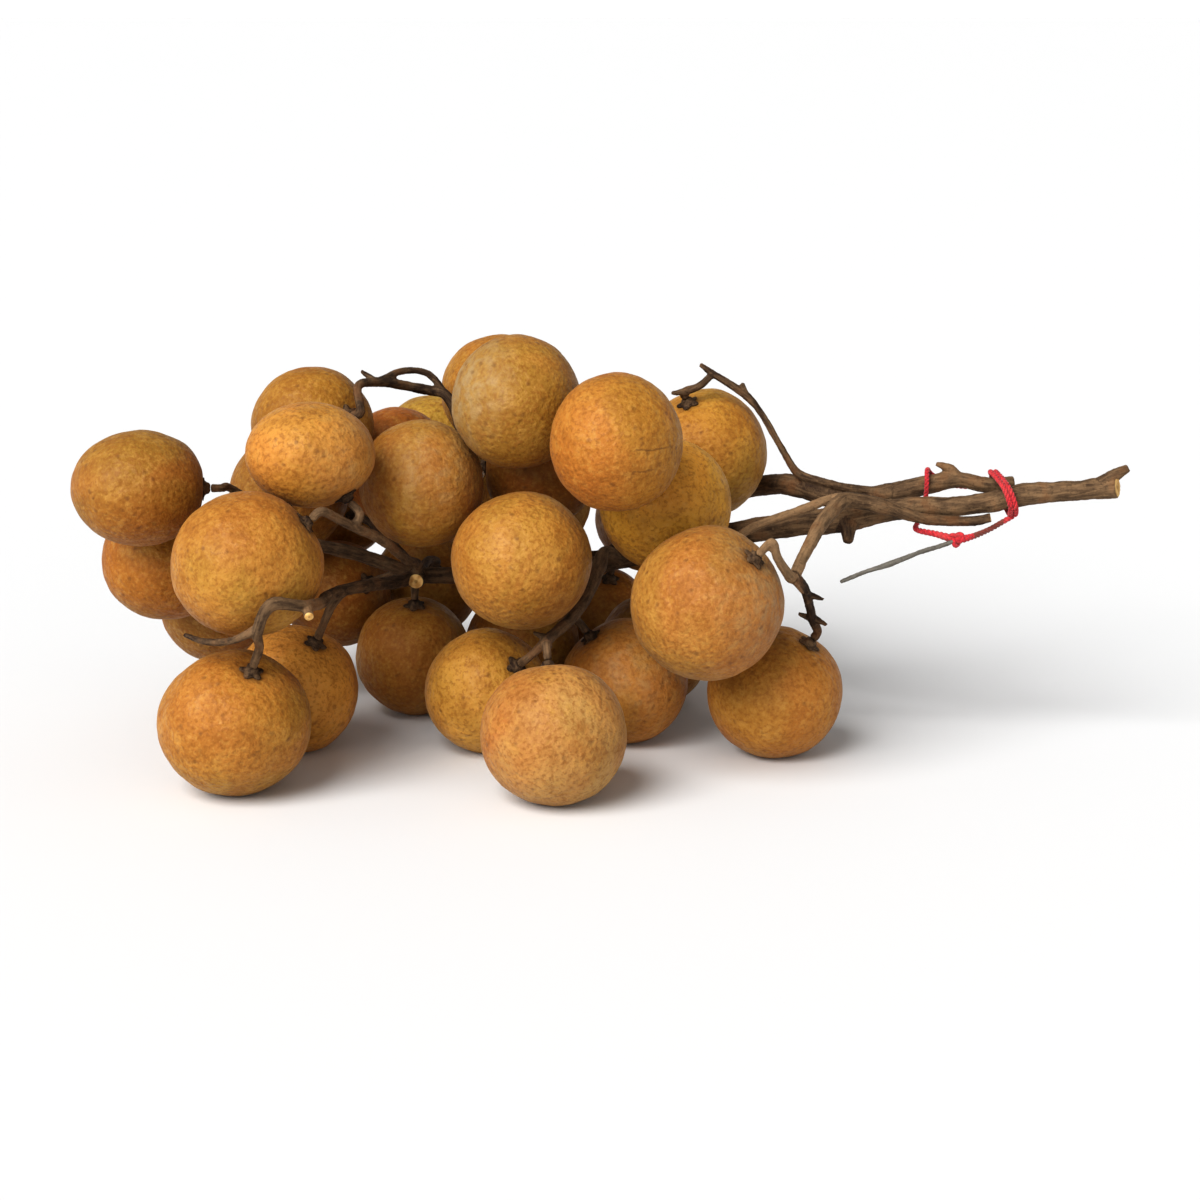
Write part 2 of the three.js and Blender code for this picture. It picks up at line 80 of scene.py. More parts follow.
# A marked side of a fruit begins at this much facing and is full after this much more.
SIDE_FROM = 0.35
SIDE_FADE = 0.6

# The scratches of a fruit: how much they waver, their half widths and the fades at their
# two ends, in mm, then how strongly they show.
SCRATCH_WAVER = 1.6
SCRATCH_EDGE = 0.28
SCRATCH_CORE = 0.06
SCRATCH_START = 1.5
SCRATCH_END = 3
SCRATCH_SHARE = 0.55

# The cup, in mm. The stalk ends at CUP_SUNK of its height.
CUP_HEIGHT = 1.3
CUP_SUNK = 0.8
STALK_RADIUS = 0.85
CUP_PETALS = 5
CUP_AROUND = 30
# Each ring of the cup: how wide it is and how high over the skin, from the stalk outward
# and back under it. Rings lower than CUP_BRIM follow the petals.
CUP_RINGS = ((0.55, 1.35), (0.95, 1.15), (1.1, 0.75), (1.35, 0.45), (0.75, 0.3), (1.0, 0.22),
             (1.0, 0.05), (0.6, 0.05))
CUP_BRIM = 0.4
CUP_LEAST = 0.03
CUP_EDGE = 1.45
PETAL_REACH = 0.95
CUP_WRINKLE = 0.12
CUP_WRINKLES = 2.1
CUP_TONE = 0.3

# The fineness of the surfaces.
SKIN_FINENESS = 6
TWIG_AROUND = 14
TWIG_STEP = 0.6
BARK_VOXEL = 0.306
DRY_VOXEL = 0.2

# Knobs and waves of a twig as shares of its radius, then ridges along the bark and its
# grain: how many to the mm, and how high, in mm.
KNOB_SCALE = 0.3
KNOB_SHARE = 0.12
WAVE_SCALE = 0.9
WAVE_SHARE = 0.07
RIDGE_ROUND = 1.6
RIDGE_ALONG = 0.22
RIDGE_HEIGHT = 0.05
GRAIN_SCALE = 1.6
GRAIN_HEIGHT = 0.06
CUT_DEPTH = 0.25

# The tight turn is two windings side by side, drawn in towards the stems, in mm.
TURN_SHIFTS = (-0.5, 0.5)
TURN_RADIUS = 0.54
TURN_PULL = 0.4

# Three threads wind round the string's middle line, one turn every THREAD_TURN mm. Their
# radius and how far out they lie are shares of the string's radius.
THREADS = 3
THREAD_RADIUS = 0.5
THREAD_OUT = 0.52
THREAD_TURN = 2.6
THREAD_AROUND = 8
THREAD_STEPS = 3

# The knot is a trefoil, scaled so that TREFOIL_REACH of its own units are KNOT_RADIUS.
KNOT_MIDDLE = Vector((69.5, 17, 43))
KNOT_RADIUS = 1.6
KNOT_THREAD = 0.42
KNOT_STEPS = 90
TREFOIL_REACH = 3.6
TREFOIL_DEPTH = 1.1

# The stretch of the strand next to the knot that is coloured brown, in mm.
BROWN_STRETCH_FROM = 73.0
BROWN_STRETCH_TO = 79.3
BROWN_STRETCH_TOP = 46.2
BROWN_STRETCH_SHARE = 0.8

# The floor reaches this far each way, in metres, and lies this far under the fruits, in mm.
FLOOR_REACH = 30.0
FLOOR_DROP = 0.05
FLOOR_GREY = 0.7
FLOOR_ROUGHNESS = 0.9

# The sky's strength at the horizon and from SKY_HEIGHT up. A sun is the direction that it
# shines from, its strength and its width in degrees.
SKY_LOW = 1.2
SKY_HIGH = 0.35
SKY_HEIGHT = 0.45
KEY_SUN = ((-0.6, -0.75, 0.85), 4.7, 45.0)
FILL_SUN = ((0.2, -1.0, 0.3), 0.55, 60.0)
VIEW_GAMMA = 0.84

# The camera stands where the photograph was taken from.
CAMERA_TARGET = Vector((0.0, 0.0, 35.0))
CAMERA_DISTANCE = 450.0
CAMERA_ELEVATION = 14.0
CAMERA_LENS = 71.5
CAMERA_SENSOR = 36.0
CAMERA_NEAR = 0.01

# Colours as seen on a screen. SKIN_SHARE darkens the skins' by how strongly the studio
# lights them.
DISPLAY_GAMMA = 2.2
SKIN_SHARE = 0.87
OCHRE_BROWN = (0.56, 0.34, 0.10)
DEEP_BROWN = (0.38, 0.22, 0.09)
OLIVE = (0.62, 0.50, 0.16)
RUSSET = (0.74, 0.38, 0.13)
PALE_TAN = (0.84, 0.65, 0.33)
# The grey of dusty sides, also laid on as a painted sheen along one fruit's rim.
DUST_AND_SHEEN_GREY = (0.68, 0.58, 0.42)
BARK_DARK = (0.155, 0.095, 0.06)
BARK_LIGHT = (0.56, 0.45, 0.33)
BARK_WARM = (0.40, 0.25, 0.13)
DRY_DARK = (0.25, 0.23, 0.21)
DRY_LIGHT = (0.52, 0.50, 0.46)
WOOD_PALE = (0.86, 0.72, 0.47)
WOOD_BROWN = (0.72, 0.54, 0.31)
PITH_BROWN = (0.42, 0.28, 0.15)
STRING_RED = (0.76, 0.15, 0.19)
STRING_DARK = (0.56, 0.07, 0.11)
STRING_WORN = (0.74, 0.30, 0.28)
STRING_BROWN_STRETCH = (0.36, 0.20, 0.12)

# How fine each pattern of the skins, the bark and the string is.
SKIN_BROAD = 85.0
SKIN_TINT = 50.0
SKIN_PATCHES = 330.0
SKIN_GRAIN = 1250.0
SKIN_BEND = 900.0
SKIN_BEND_REACH = 0.0009
SKIN_DOTS = 520.0
SKIN_PEBBLES = 900.0
BARK_STREAKS = 1.3
BARK_STRETCH = 0.16
BARK_PATCHES = 180.0
BARK_GRAIN = 1700.0
BARK_SPECKS = 620.0
WOOD_RINGS = 900.0
STRING_FIBRES = 2600.0
STRING_PATCHES = 260.0
BUMP_DEPTH = 0.0003
STRING_BUMP_DEPTH = 0.00012

# Each fruit: x, y and z of its middle, half its width, half its height, in mm, then
# the colour of its skin, how much of it is darker, and how green and how red it is.
# A z of None is a fruit that rests on the surface.
FRUITS = {
    "far_left_top": (-88, 10, 54.5, 12.7, 11.1, (0.66, 0.46, 0.19), 0.45, 0.3, 0.15),
    "far_left_mid": (-87, 28, 36.5, 12.5, 12.3, (0.69, 0.46, 0.16), 0.45, 0.15, 0.15),
    "far_left_low": (-79.8, 48.2, 22.3, 12.5, 12.5, (0.62, 0.42, 0.16), 0.5, 0.1, 0.15),
    "left_big": (-65, -9, 44, 14, 13.4, (0.75, 0.54, 0.23), 0.35, 0.25, 0.1),
    "front_left": (-68.5, -8.5, None, 14.4, 13.7, (0.75, 0.54, 0.24), 0.4, 0.25, 0.1),
    # low_left's skin colour is made lighter as painted light, to offset the shade its neighbours
    # cast on it.
    "low_left": (-60.5, 18, None, 12.6, 12.6, (0.90, 0.63, 0.28), 0.4, 0.1, 0.15),
    "top_left_back": (-57, 30, 63, 12, 12, (0.70, 0.48, 0.18), 0.5, 0.15, 0.2),
    "top_left": (-54.5, 5, 62, 12.2, 9.9, (0.82, 0.58, 0.26), 0.4, 0.1, 0.15),
    "behind_left": (-65, 53, 45, 12.5, 12.5, (0.63, 0.43, 0.17), 0.5, 0.1, 0.2),
    "mid_left": (-35, 22, 53, 12.3, 12.6, (0.71, 0.50, 0.20), 0.45, 0.3, 0.1),
    "back_red": (-42, 47, 52, 12, 12, (0.72, 0.45, 0.17), 0.5, 0.0, 0.4),
    "back_green": (-36, 72, 50, 12.5, 12.5, (0.76, 0.60, 0.25), 0.35, 0.5, 0.0),
    "top": (-16, 18, 69.8, 12.6, 13, (0.69, 0.50, 0.21), 0.45, 0.3, 0.1),
    "top_back": (-21, 55.3, 65.8, 12, 12, (0.70, 0.49, 0.18), 0.45, 0.25, 0.1),
    "top_right": (3, 1, 65, 12.5, 13, (0.75, 0.52, 0.21), 0.4, 0.1, 0.2),
    "right_back": (21.5, 46, 54.5, 13, 13.2, (0.76, 0.57, 0.23), 0.4, 0.35, 0.1),
    # right_mid's skin colour is made lighter as painted light, to offset the shade its neighbours
    # cast on it.
    "right_mid": (13, 21, 49, 13, 13, (0.91, 0.66, 0.25), 0.35, 0.3, 0.1),
    "centre": (-15, 9, 40.5, 13.6, 13.4, (0.74, 0.54, 0.24), 0.45, 0.25, 0.1),
    "centre_back": (-12, 37, 53, 11.5, 11.5, (0.64, 0.42, 0.16), 0.5, 0.0, 0.3),
    "right_big": (20, -3, 35, 14.4, 14.6, (0.74, 0.53, 0.26), 0.4, 0.1, 0.15),
    "right_low": (34.5, 15, None, 13.4, 12.9, (0.76, 0.53, 0.23), 0.4, 0.1, 0.15),
    "low_right": (5, 24, None, 12.6, 12.6, (0.78, 0.53, 0.22), 0.45, 0.1, 0.15),
    "front": (-8.5, -14, None, 13.7, 13.2, (0.77, 0.60, 0.35), 0.35, 0.0, 0.15),
    "low_middle": (-22.5, 18, None, 12.3, 12.4, (0.84, 0.62, 0.28), 0.4, 0.15, 0.1),
    "low_back": (-39, 44, None, 12, 12.4, (0.70, 0.49, 0.20), 0.5, 0.2, 0.1),
    "inner_left": (-56.5, 59.5, 21.5, 11.5, 11.5, (0.64, 0.42, 0.16), 0.5, 0.0, 0.3),
    "inner_right": (11.5, 51, None, 12, 12, (0.66, 0.45, 0.17), 0.5, 0.1, 0.2),
    "rear_1": (-58, 77.8, 37.5, 12, 12, (0.70, 0.49, 0.20), 0.45, 0.2, 0.1),
    "rear_2": (-16.5, 56, None, 12.2, 12, (0.65, 0.45, 0.17), 0.5, 0.1, 0.2),
    "rear_3": (-14, 60, 41.5, 12, 12, (0.72, 0.51, 0.21), 0.45, 0.1, 0.2),
    "rear_4": (11, 77.5, 34.5, 12, 12.3, (0.71, 0.50, 0.20), 0.45, 0.2, 0.15),
    "rear_5": (-38, 75, 20.5, 11.8, 11.8, (0.69, 0.48, 0.19), 0.45, 0.15, 0.1),
    "rear_6": (0, 75, None, 12, 12, (0.72, 0.49, 0.19), 0.45, 0.05, 0.25),
}

# Sides of single fruits that are greyed or reddened: the direction in which the side lies and
# how strong it is. The grey is dust, and on right_big's right edge a painted sheen.
DUST_AND_SHEEN_SIDES = {
    "top": ((-0.9, -0.35, 0.3), 0.75),
    "right_big": ((0.9, -0.4, 0.25), 0.5),
    "mid_left": ((0.35, -0.85, 0.5), 0.35),
    "top_left": ((0.9, -0.4, -0.1), 0.3),
    "low_right": ((0.3, -0.8, 0.5), 0.35),
}
RED_SIDES = {
    "front": ((-0.85, -0.45, 0.2), 0.6),
    "top_right": ((-0.7, -0.6, -0.4), 0.45),
    "left_big": ((0.1, -0.3, 0.95), 0.3),
    "right_big": ((0.8, -0.6, -0.1), 0.4),
    "right_back": ((-0.5, -0.8, 0.3), 0.35),
    "far_left_top": ((0.2, -0.7, -0.7), 0.35),
    "front_left": ((-0.2, -0.8, 0.55), 0.35),
}
# Fine scratches of one fruit: height over its middle, and from where to where in x, in mm.
SCRATCHES = {"top_right": ((1.3, 2.5, 11.0), (-2.5, 2.5, 8.5))}

# Every twig is a row of points, x, y, z and radius in mm, and may end at a fruit.
# tone is how light its bark is, and cut says that its first or last end is a cut face.
STEM_LONG = [
    dict(tone=(0.5, 0.35), cut="first", points=[
        (100.8, 18.9, 52.9, 2.2), (98, 20.2, 52.4, 2.15), (93.5, 20.8, 51.9, 2),
        (88.5, 21.2, 51.4, 2.05), (84, 21.7, 50.9, 2.3), (80.5, 22.2, 50.1, 2.3),
        (76, 22.6, 49.1, 2.05), (69, 23, 48.2, 2), (62, 23.7, 47.9, 2.1), (55, 24.4, 46.9, 2.4),
        (49, 25, 45.3, 2.7), (40, 27, 44, 2.55), (28, 30.5, 41.3, 2.4), (16, 36, 38, 2.2),
        (4, 38, 34, 2), (-9, 38, 31.5, 1.9), (-24, 37, 31, 1.8), (-37, 37, 31, 1.7)]),
    dict(tone=0.4, points=[(98, 20.2, 53, 1.8), (100.3, 20, 55, 1.35), (102.9, 19.8, 56.6, 0.8)]),
    dict(tone=0.25, points=[(49, 25, 45.3, 1.9), (49, 23, 43.3, 1.5), (48.8, 21.5, 41.3, 0.9)]),
    dict(tone=0.4, cut="last", points=[
        (-37, 37, 31, 1.7), (-37, 34, 31, 1.7), (-37.2, 31.5, 31, 1.75)]),
    dict(tone=0.6, points=[(-37, 35, 32, 0.8), (-37, 33.6, 34, 0.5), (-37.2, 33, 35.6, 0.35)]),
    dict(tone=(0.3, 0.5), to="front_left", points=[
        (-37, 37, 31, 1.5), (-40.5, 29, 31.6, 1.4), (-45, 18, 33.5, 1.3), (-49, 8, 35, 1.2),
        (-50.9, -2, 36.3, 1.15), (-51.3, -9, 37.3, 1.1), (-53.3, -18.5, 38.5, 1.1),
        (-58.7, -23.5, 40, 1.2), (-61.5, -22.5, 35, 1), (-62.3, -16, 30, 0.85)]),
    dict(tone=(0.45, 0.2), points=[
        (-61.3, -22.6, 35.5, 0.9), (-66.5, -19.5, 32.3, 0.75), (-72, -15.5, 31, 0.65),
        (-77, -9, 30.5, 0.45)]),
    dict(tone=0.55, cut="last", points=[
        (-53, -17, 38.5, 1), (-52.7, -19.5, 37.9, 1), (-52.3, -21.5, 37.2, 1)]),
    dict(tone=0.45, to="low_left", points=[(-49, 8, 35, 1), (-52, 11, 31, 0.85)]),
    dict(tone=0.5, to="left_big", points=[
        (-37, 36, 31.5, 1.1), (-36.8, 30, 35, 1), (-38.3, 20, 38.4, 1), (-42, 8, 45, 1),
        (-47.5, -2, 50.3, 0.95), (-51, -8, 53.8, 0.85)]),
    dict(tone=0.5, to="top_left", points=[(-46, 0.5, 49.3, 0.9), (-45, 0.5, 51.5, 0.85)]),
    dict(tone=0.4, points=[(-37, 37, 31, 1.5), (-50, 33, 36.5, 1.4), (-64, 23, 42, 1.3)]),
    dict(tone=0.4, to="far_left_top", points=[
        (-64, 23, 42, 1), (-69, 21, 49.5, 0.9), (-72, 18, 53, 0.8), (-73, 13.5, 53.8, 0.8)]),
    dict(tone=0.4, to="far_left_mid", points=[(-64, 23, 42, 1), (-71, 25, 40.5, 0.85)]),
    dict(tone=0.4, to="far_left_low", points=[
        (-64, 23, 42, 1), (-68, 29, 35.5, 0.9), (-71.5, 34.5, 31, 0.85)]),
    dict(tone=0.4, to="behind_left", points=[(-64, 23, 42, 1), (-64.5, 35, 43, 0.85)]),
    dict(tone=0.4, to="rear_1", points=[
        (-37, 37, 31, 1.2), (-44, 50, 35.5, 0.9), (-49, 60, 37, 0.85)]),
    dict(tone=0.4, to="inner_left", points=[
        (-37, 37, 31, 1.2), (-40, 42, 30, 0.9), (-44, 47, 28.5, 0.85)]),
    dict(tone=0.4, to="rear_5", points=[
        (-37, 37, 31, 1.2), (-36, 48, 31.5, 0.9), (-34.5, 54, 30, 0.85)]),
    dict(tone=0.4, to="low_back", points=[(-37, 37, 31, 1.1), (-38, 40, 28.5, 0.85)]),
    dict(tone=0.3, to="top_left_back", points=[
        (-26, 37, 31, 1.5), (-27, 38.5, 40, 1.4), (-27, 38.5, 52, 1.3), (-28.5, 40, 62, 1.2),
        (-31, 41, 67.3, 1.1), (-34.4, 41.5, 68.3, 1), (-40, 38, 70, 1), (-44.3, 31, 71.7, 0.95),
        (-47.2, 24.5, 71.8, 0.9), (-46.3, 19.8, 67.5, 0.85)]),
    dict(tone=0.3, points=[
        (-30.5, 41, 66.5, 0.8), (-34.4, 42, 71.4, 0.7), (-39.4, 40, 72.6, 0.7),
        (-43.6, 33, 71.8, 0.7)]),
    dict(tone=0.3, points=[
        (-44.3, 31, 71.7, 0.8), (-46, 32.5, 72.7, 0.6), (-47.4, 33.6, 73.5, 0.4)]),
    dict(tone=0.4, to="mid_left", points=[(-27, 38.5, 42, 1), (-28, 35.5, 44.5, 0.85)]),
    dict(tone=0.4, to="back_red", points=[(-27, 38.5, 50, 1), (-28.3, 39.4, 50, 0.9)]),
    dict(tone=0.4, to="centre_back", points=[(-27, 38.5, 54, 1), (-25.8, 38.2, 53.8, 0.9)]),
    dict(tone=0.4, to="back_green", points=[
        (-27.7, 39, 57, 1), (-29, 47.5, 55.5, 0.9), (-30, 55, 54, 0.85)]),
    dict(tone=0.4, to="top_back", points=[(-28.5, 40, 62, 1), (-27.8, 42, 62.3, 0.9)]),
    dict(tone=0.4, to="top", points=[
        (-28.3, 39.7, 60, 1), (-26, 35, 62, 0.9), (-24.5, 32, 63.2, 0.85)]),
    dict(tone=0.4, to="rear_2", points=[(-9, 38, 31.5, 1.1), (-11.5, 44, 28.5, 0.85)]),
    dict(tone=0.4, to="centre", points=[(-9, 38, 31.5, 1.1), (-11, 30, 33, 0.85)]),
    dict(tone=0.4, to="top_right", points=[
        (4, 38, 34, 1.3), (5, 35, 40, 0.95), (3, 32, 48, 0.9), (-1, 28, 55, 0.9),
        (0, 22, 57.5, 0.85)]),
    dict(tone=0.5, to="front", points=[
        (4, 38, 34, 1.5), (1, 34, 36.5, 1.3), (-0.4, 30, 33.8, 1.55), (-3, 24, 29.3, 1.3),
        (-6, 17, 26.7, 1.2), (-10, 8, 25.2, 1.1), (-10, -1, 26.3, 0.95), (-10, -6, 27.5, 0.85)]),
    dict(tone=0.45, to="low_middle", points=[(-10, 8, 25.2, 1), (-13, 7, 22.5, 0.85)]),
    dict(tone=0.45, to="low_right", points=[(-5.5, 18.5, 27, 1), (-4.2, 21.3, 25.2, 0.85)]),
    dict(tone=0.4, points=[
        (-9.8, 8.5, 25.2, 0.9), (-11.5, 7.8, 26, 0.6), (-12.9, 7.2, 26.8, 0.35)]),
]

STEM_UPPER = [
    dict(tone=(0.45, 0.35), cut="first", points=[
        (82, 26.6, 52.1, 1.5), (79, 26.8, 51.8, 1.6), (75.8, 27.2, 51.8, 1.6),
        (71.5, 28, 52.6, 1.6), (68, 28.5, 52.2, 1.8), (64, 29.2, 51.1, 2), (60, 30.2, 49.9, 2.1),
        (54, 32.5, 48.2, 2.2), (48, 35.5, 47.2, 2.2), (41, 41, 48.6, 2.3), (35.8, 50, 47.3, 2.2),
        (27.5, 58, 44, 2), (17, 61, 40, 1.9), (9, 59, 37, 1.8)]),
    dict(tone=0.5, points=[
        (70.6, 28.3, 53, 1.4), (69.4, 28.3, 54.8, 1), (66.6, 28.3, 55.8, 0.45)]),
    dict(tone=0.35, points=[
        (59, 30.3, 49.7, 1.2), (55, 31, 49.8, 0.95), (50, 32.8, 50, 0.85), (44.5, 37, 50.5, 0.85),
        (40.4, 39, 51.6, 0.95), (38, 39.5, 54.8, 0.75), (32.9, 40, 63.4, 0.7),
        (29.8, 40, 67.2, 0.85), (25.2, 40, 70.5, 0.8), (22.5, 40, 72.1, 0.75),
        (20.1, 40, 73.9, 0.45)]),
    dict(tone=0.3, points=[(29.5, 40, 67.4, 0.75), (29, 40, 69, 0.55), (28.7, 40, 70.2, 0.4)]),
    dict(tone=0.3, to="right_back", points=[
        (22.7, 40, 72, 0.75), (20.1, 40, 69.5, 0.8), (17, 40.5, 68.2, 0.85)]),
    dict(tone=0.3, points=[
        (17.6, 40.3, 68.4, 0.8), (15.8, 39.8, 68.2, 0.6), (14.3, 39.6, 68.1, 0.4)]),
    dict(tone=0.4, to="rear_4", points=[(17, 61, 40, 1.1), (16.7, 63, 39.4, 0.9)]),
    dict(tone=0.4, to="rear_3", points=[
        (9, 59, 37, 1.2), (2, 58, 31.5, 0.9), (-2.5, 60, 30.2, 0.85)]),
    dict(tone=0.4, to="rear_6", points=[(9, 59, 37, 1.2), (6, 63, 31, 0.9), (3, 69, 27, 0.85)]),
    dict(tone=0.4, to="inner_right", points=[
        (9, 59, 37, 1.2), (10, 57, 31, 0.9), (11, 54, 27.5, 0.85)]),
]

STEM_FRONT = [
    dict(tone=(0.25, 0.85), cut="first", to="right_big", points=[
        (76.5, 20, 46.6, 0.95), (73.4, 20.1, 46, 1), (68.5, 20, 46, 1.05), (63.6, 19.8, 46.4, 1.1),
        (59.5, 19, 47.6, 1.3), (55, 18.4, 49.2, 1.5), (51, 18.4, 50.2, 1.6), (47, 17, 50.6, 1.55),
        (43, 11, 48.1, 1.45), (40.2, 5, 45.5, 1.3), (38, 0, 43, 1.15), (36, -4, 40.3, 1.1),
        (34.4, -6.5, 42.2, 0.95), (32.6, -8.6, 45.4, 0.9), (31.5, -10, 48.4, 0.85)]),
    dict(tone=0.75, to="right_mid", points=[
        (50.5, 18.7, 50.3, 1.3), (45.5, 20.3, 50.4, 0.95), (39.3, 21.3, 47.8, 0.9),
        (28.6, 23, 43.1, 0.9), (21, 22, 36, 0.85), (17, 21, 32.5, 0.85)]),
    dict(tone=0.2, to="right_low", points=[
        (36.3, -3.5, 40.5, 1.1), (39, 2, 36.1, 0.95), (41.1, 9, 28.8, 0.9),
        (42.3, 11.4, 25.8, 0.85)]),
    dict(tone=0.2, points=[(39.4, 3, 35.4, 0.8), (41, 3, 34.9, 0.6), (42.6, 3, 34.3, 0.35)]),
    dict(tone=0.2, points=[
        (41, 8.5, 29.4, 0.8), (42.4, 8.4, 28.7, 0.6), (43.8, 8.3, 27.9, 0.35)]),
    dict(tone=0.2, points=[(41, 9, 29.2, 0.8), (39.5, 8.5, 29.7, 0.6), (38.2, 8, 30.3, 0.35)]),
    dict(tone=0.3, points=[(36, -4, 40.3, 0.9), (37, -5.5, 39, 0.6), (37.8, -6.6, 37.8, 0.35)]),
]

DRY_TWIG = [
    dict(tone=0.5, points=[
        (69, 16.8, 42.7, 0.45), (66.7, 16, 42, 0.5), (61.5, 13.5, 41, 0.45),
        (56.1, 11, 39.5, 0.6), (50.8, 8.5, 38.4, 0.42), (46, 6, 37.1, 0.4)]),
]

# The string: a tight turn round the cut ends, then a strand that runs back behind the
# upper stem, over it, down behind the long stem and under it to a knot, and from the
# knot back to the turn.
STRING_TURN = [
    (80.8, 19, 48.4, 0.95), (80.2, 18.6, 50.4, 0.95), (79.3, 19.7, 52.7, 0.95),
    (78.4, 22.4, 54.1, 0.95), (77.6, 26, 54.8, 0.95), (78, 29, 54, 0.95),
    (79, 29.8, 51.6, 0.95), (80, 28.6, 49.2, 0.95), (81, 25.3, 47.1, 0.95),
    (81.2, 21.8, 46.5, 0.95),
]
STRING_STRAND = [
    (80, 29.4, 50.3, 0.5), (75.3, 30.4, 50.6, 0.5), (70, 31.2, 51, 0.5), (66.3, 31.5, 53, 0.5),
    (65, 28.7, 54.5, 0.5), (64.6, 26.1, 52.6, 0.5), (64.5, 26.3, 49.5, 0.5),
    (63.8, 26.4, 46.6, 0.5), (62.8, 24.3, 44.7, 0.5), (62.2, 21.2, 44, 0.55),
    (65.5, 18.6, 43.7, 0.65), (69.5, 17, 43, 0.9), (72.4, 17.6, 43.3, 0.65),
    (76, 20, 44.1, 0.55), (79, 21.4, 45.4, 0.55), (81.1, 21.9, 46.5, 0.55),
]


def in_metres(point):
    """A point of the tables, in millimetres, in the frame's own metres."""
    return (Vector(point) - MIDDLE) * MM


class Fruit:
    """A fruit's middle, half sizes and stem direction, in millimetres."""

    def __init__(self, name, row, index):
        x, y, z, width, height, colour, dark, green, red = row
        self.name = name
        self.rests = z is None
        self.middle = Vector((x, y, height - REST if self.rests else z))
        self.width = width
        self.height = height
        self.colour = colour
        self.dark = dark
        self.green = green
        self.red = red
        self.phase = index * LUMP_PHASE_STEP
        self.stem_end = Vector((0.0, 0.0, 1.0))

    def skin_radius(self, directions):
        """The distance from the middle to the skin along unit directions, one a row."""
        across = directions[:, 0] ** 2 + directions[:, 1] ** 2
        oval = 1 / np.sqrt(across / self.width ** 2 + directions[:, 2] ** 2 / self.height ** 2)
        angle = self.stem_angle(directions)
        hollow = HOLLOW_DEPTH * np.exp(-(angle / HOLLOW_ANGLE) ** 2)
        ring = (angle - SHOULDER_ANGLE) / SHOULDER_SPREAD
        shoulder = SHOULDER_HEIGHT * np.exp(-ring ** 2)
        sideways = np.sin(LUMP_X * directions[:, 0] + self.phase)
        sideways = sideways * np.cos(LUMP_Y * directions[:, 1] - self.phase)
        upward = LUMP_UPWARD * np.sin(LUMP_Z * directions[:, 2] + 2 * self.phase)
        return oval * (1 + shoulder - hollow + LUMP_HEIGHT * (sideways + upward))

    def stem_angle(self, directions):
        cosine = np.clip(directions @ np.array(self.stem_end), -1.0, 1.0)
        return np.arccos(cosine)

    def skin_at(self, direction):
        return float(self.skin_radius(np.array([direction[:]]))[0])


fruits = {name: Fruit(name, row, i) for i, (name, row) in enumerate(FRUITS.items())}
for twig in STEM_LONG + STEM_UPPER + STEM_FRONT:
    if "to" in twig:
        reached = fruits[twig["to"]]
        reached.stem_end = (Vector(twig["points"][-1][:3]) - reached.middle).normalized()


def keep_clear(point, radius, own_fruit):
    """Moves a point that is too near a fruit straight away from the fruit's skin."""
    for _ in range(CLEAR_PASSES):
        for name, fruit in fruits.items():
            if name == own_fruit:
                continue
            away = point - fruit.middle
            if away.length > fruit.width * NEAR_SHARE + radius + TWIG_GAP:
                continue
            direction = away.normalized()
            least = fruit.skin_at(direction) + radius + TWIG_GAP
            if away.length < least:
                point = fruit.middle + direction * least
    return point


def curve_point(before, first, second, after, share):
    """A point of the smooth curve that runs from first to second."""
    start = (second - before) * 0.5
    finish = (after - first) * 0.5
    square = share * share
    cube = square * share
    return (
        first * (2 * cube - 3 * square + 1) + start * (cube - 2 * square + share)
        + second * (3 * square - 2 * cube) + finish * (cube - square)
    )


def smooth_line(rows, closed=False, own_fruit=None, clear=True):
    """Points along a row of (x, y, z, radius), close together, each with its radius."""
    places = [Vector(row[:3]) for row in rows]
    radii = [row[3] for row in rows]
    count = len(rows)
    spans = count if closed else count - 1
    line = []
    for span in range(spans):
        first = places[span]
        second = places[(span + 1) % count]
        before = places[span - 1] if closed or span else first * 2 - second
        last = closed or span + 2 < count
        after = places[(span + 2) % count] if last else second * 2 - first
        steps = max(2, round((second - first).length / TWIG_STEP))
        for step in range(steps):
            share = step / steps
            radius = radii[span] + (radii[(span + 1) % count] - radii[span]) * share
            point = curve_point(before, first, second, after, share)
            line.append((keep_clear(point, radius, own_fruit) if clear else point, radius))
    if not closed:
        line.append((places[-1], radii[-1]))
    return line


def line_frames(line, closed=False):
    """For each point of a line, its direction and two unit vectors square to it."""
    last = len(line) - 1
    across = Vector((0.0, 0.0, 1.0))
    frames = []
    for i in range(last + 1):
        before = line[i - 1][0] if closed or i else line[0][0]
        after = line[(i + 1) % (last + 1)][0] if closed or i < last else line[last][0]
        ahead = (after - before).normalized()
        if i == 0 and abs(ahead.z) > 0.9:
            across = Vector((1.0, 0.0, 0.0))
        across = (across - ahead * across.dot(ahead)).normalized()
        frames.append((ahead, across, ahead.cross(across)))
    return frames


def twig_rows(twig):
    """A twig's own points, and for one that reaches a fruit the point inside its cup."""
    rows = list(twig["points"])
    if "to" in twig:
        fruit = fruits[twig["to"]]
        inside_cup = fruit.skin_at(fruit.stem_end) + STALK_GAP + CUP_HEIGHT * CUP_SUNK
        place = fruit.middle + fruit.stem_end * inside_cup
        rows.append((*place, STALK_RADIUS))
    return rows


def new_mesh(name, points, faces):
    mesh = bpy.data.meshes.new(name)
    mesh.from_pydata([in_metres(point) for point in points], [], faces)
    mesh.validate()
    mesh.update()
    return mesh


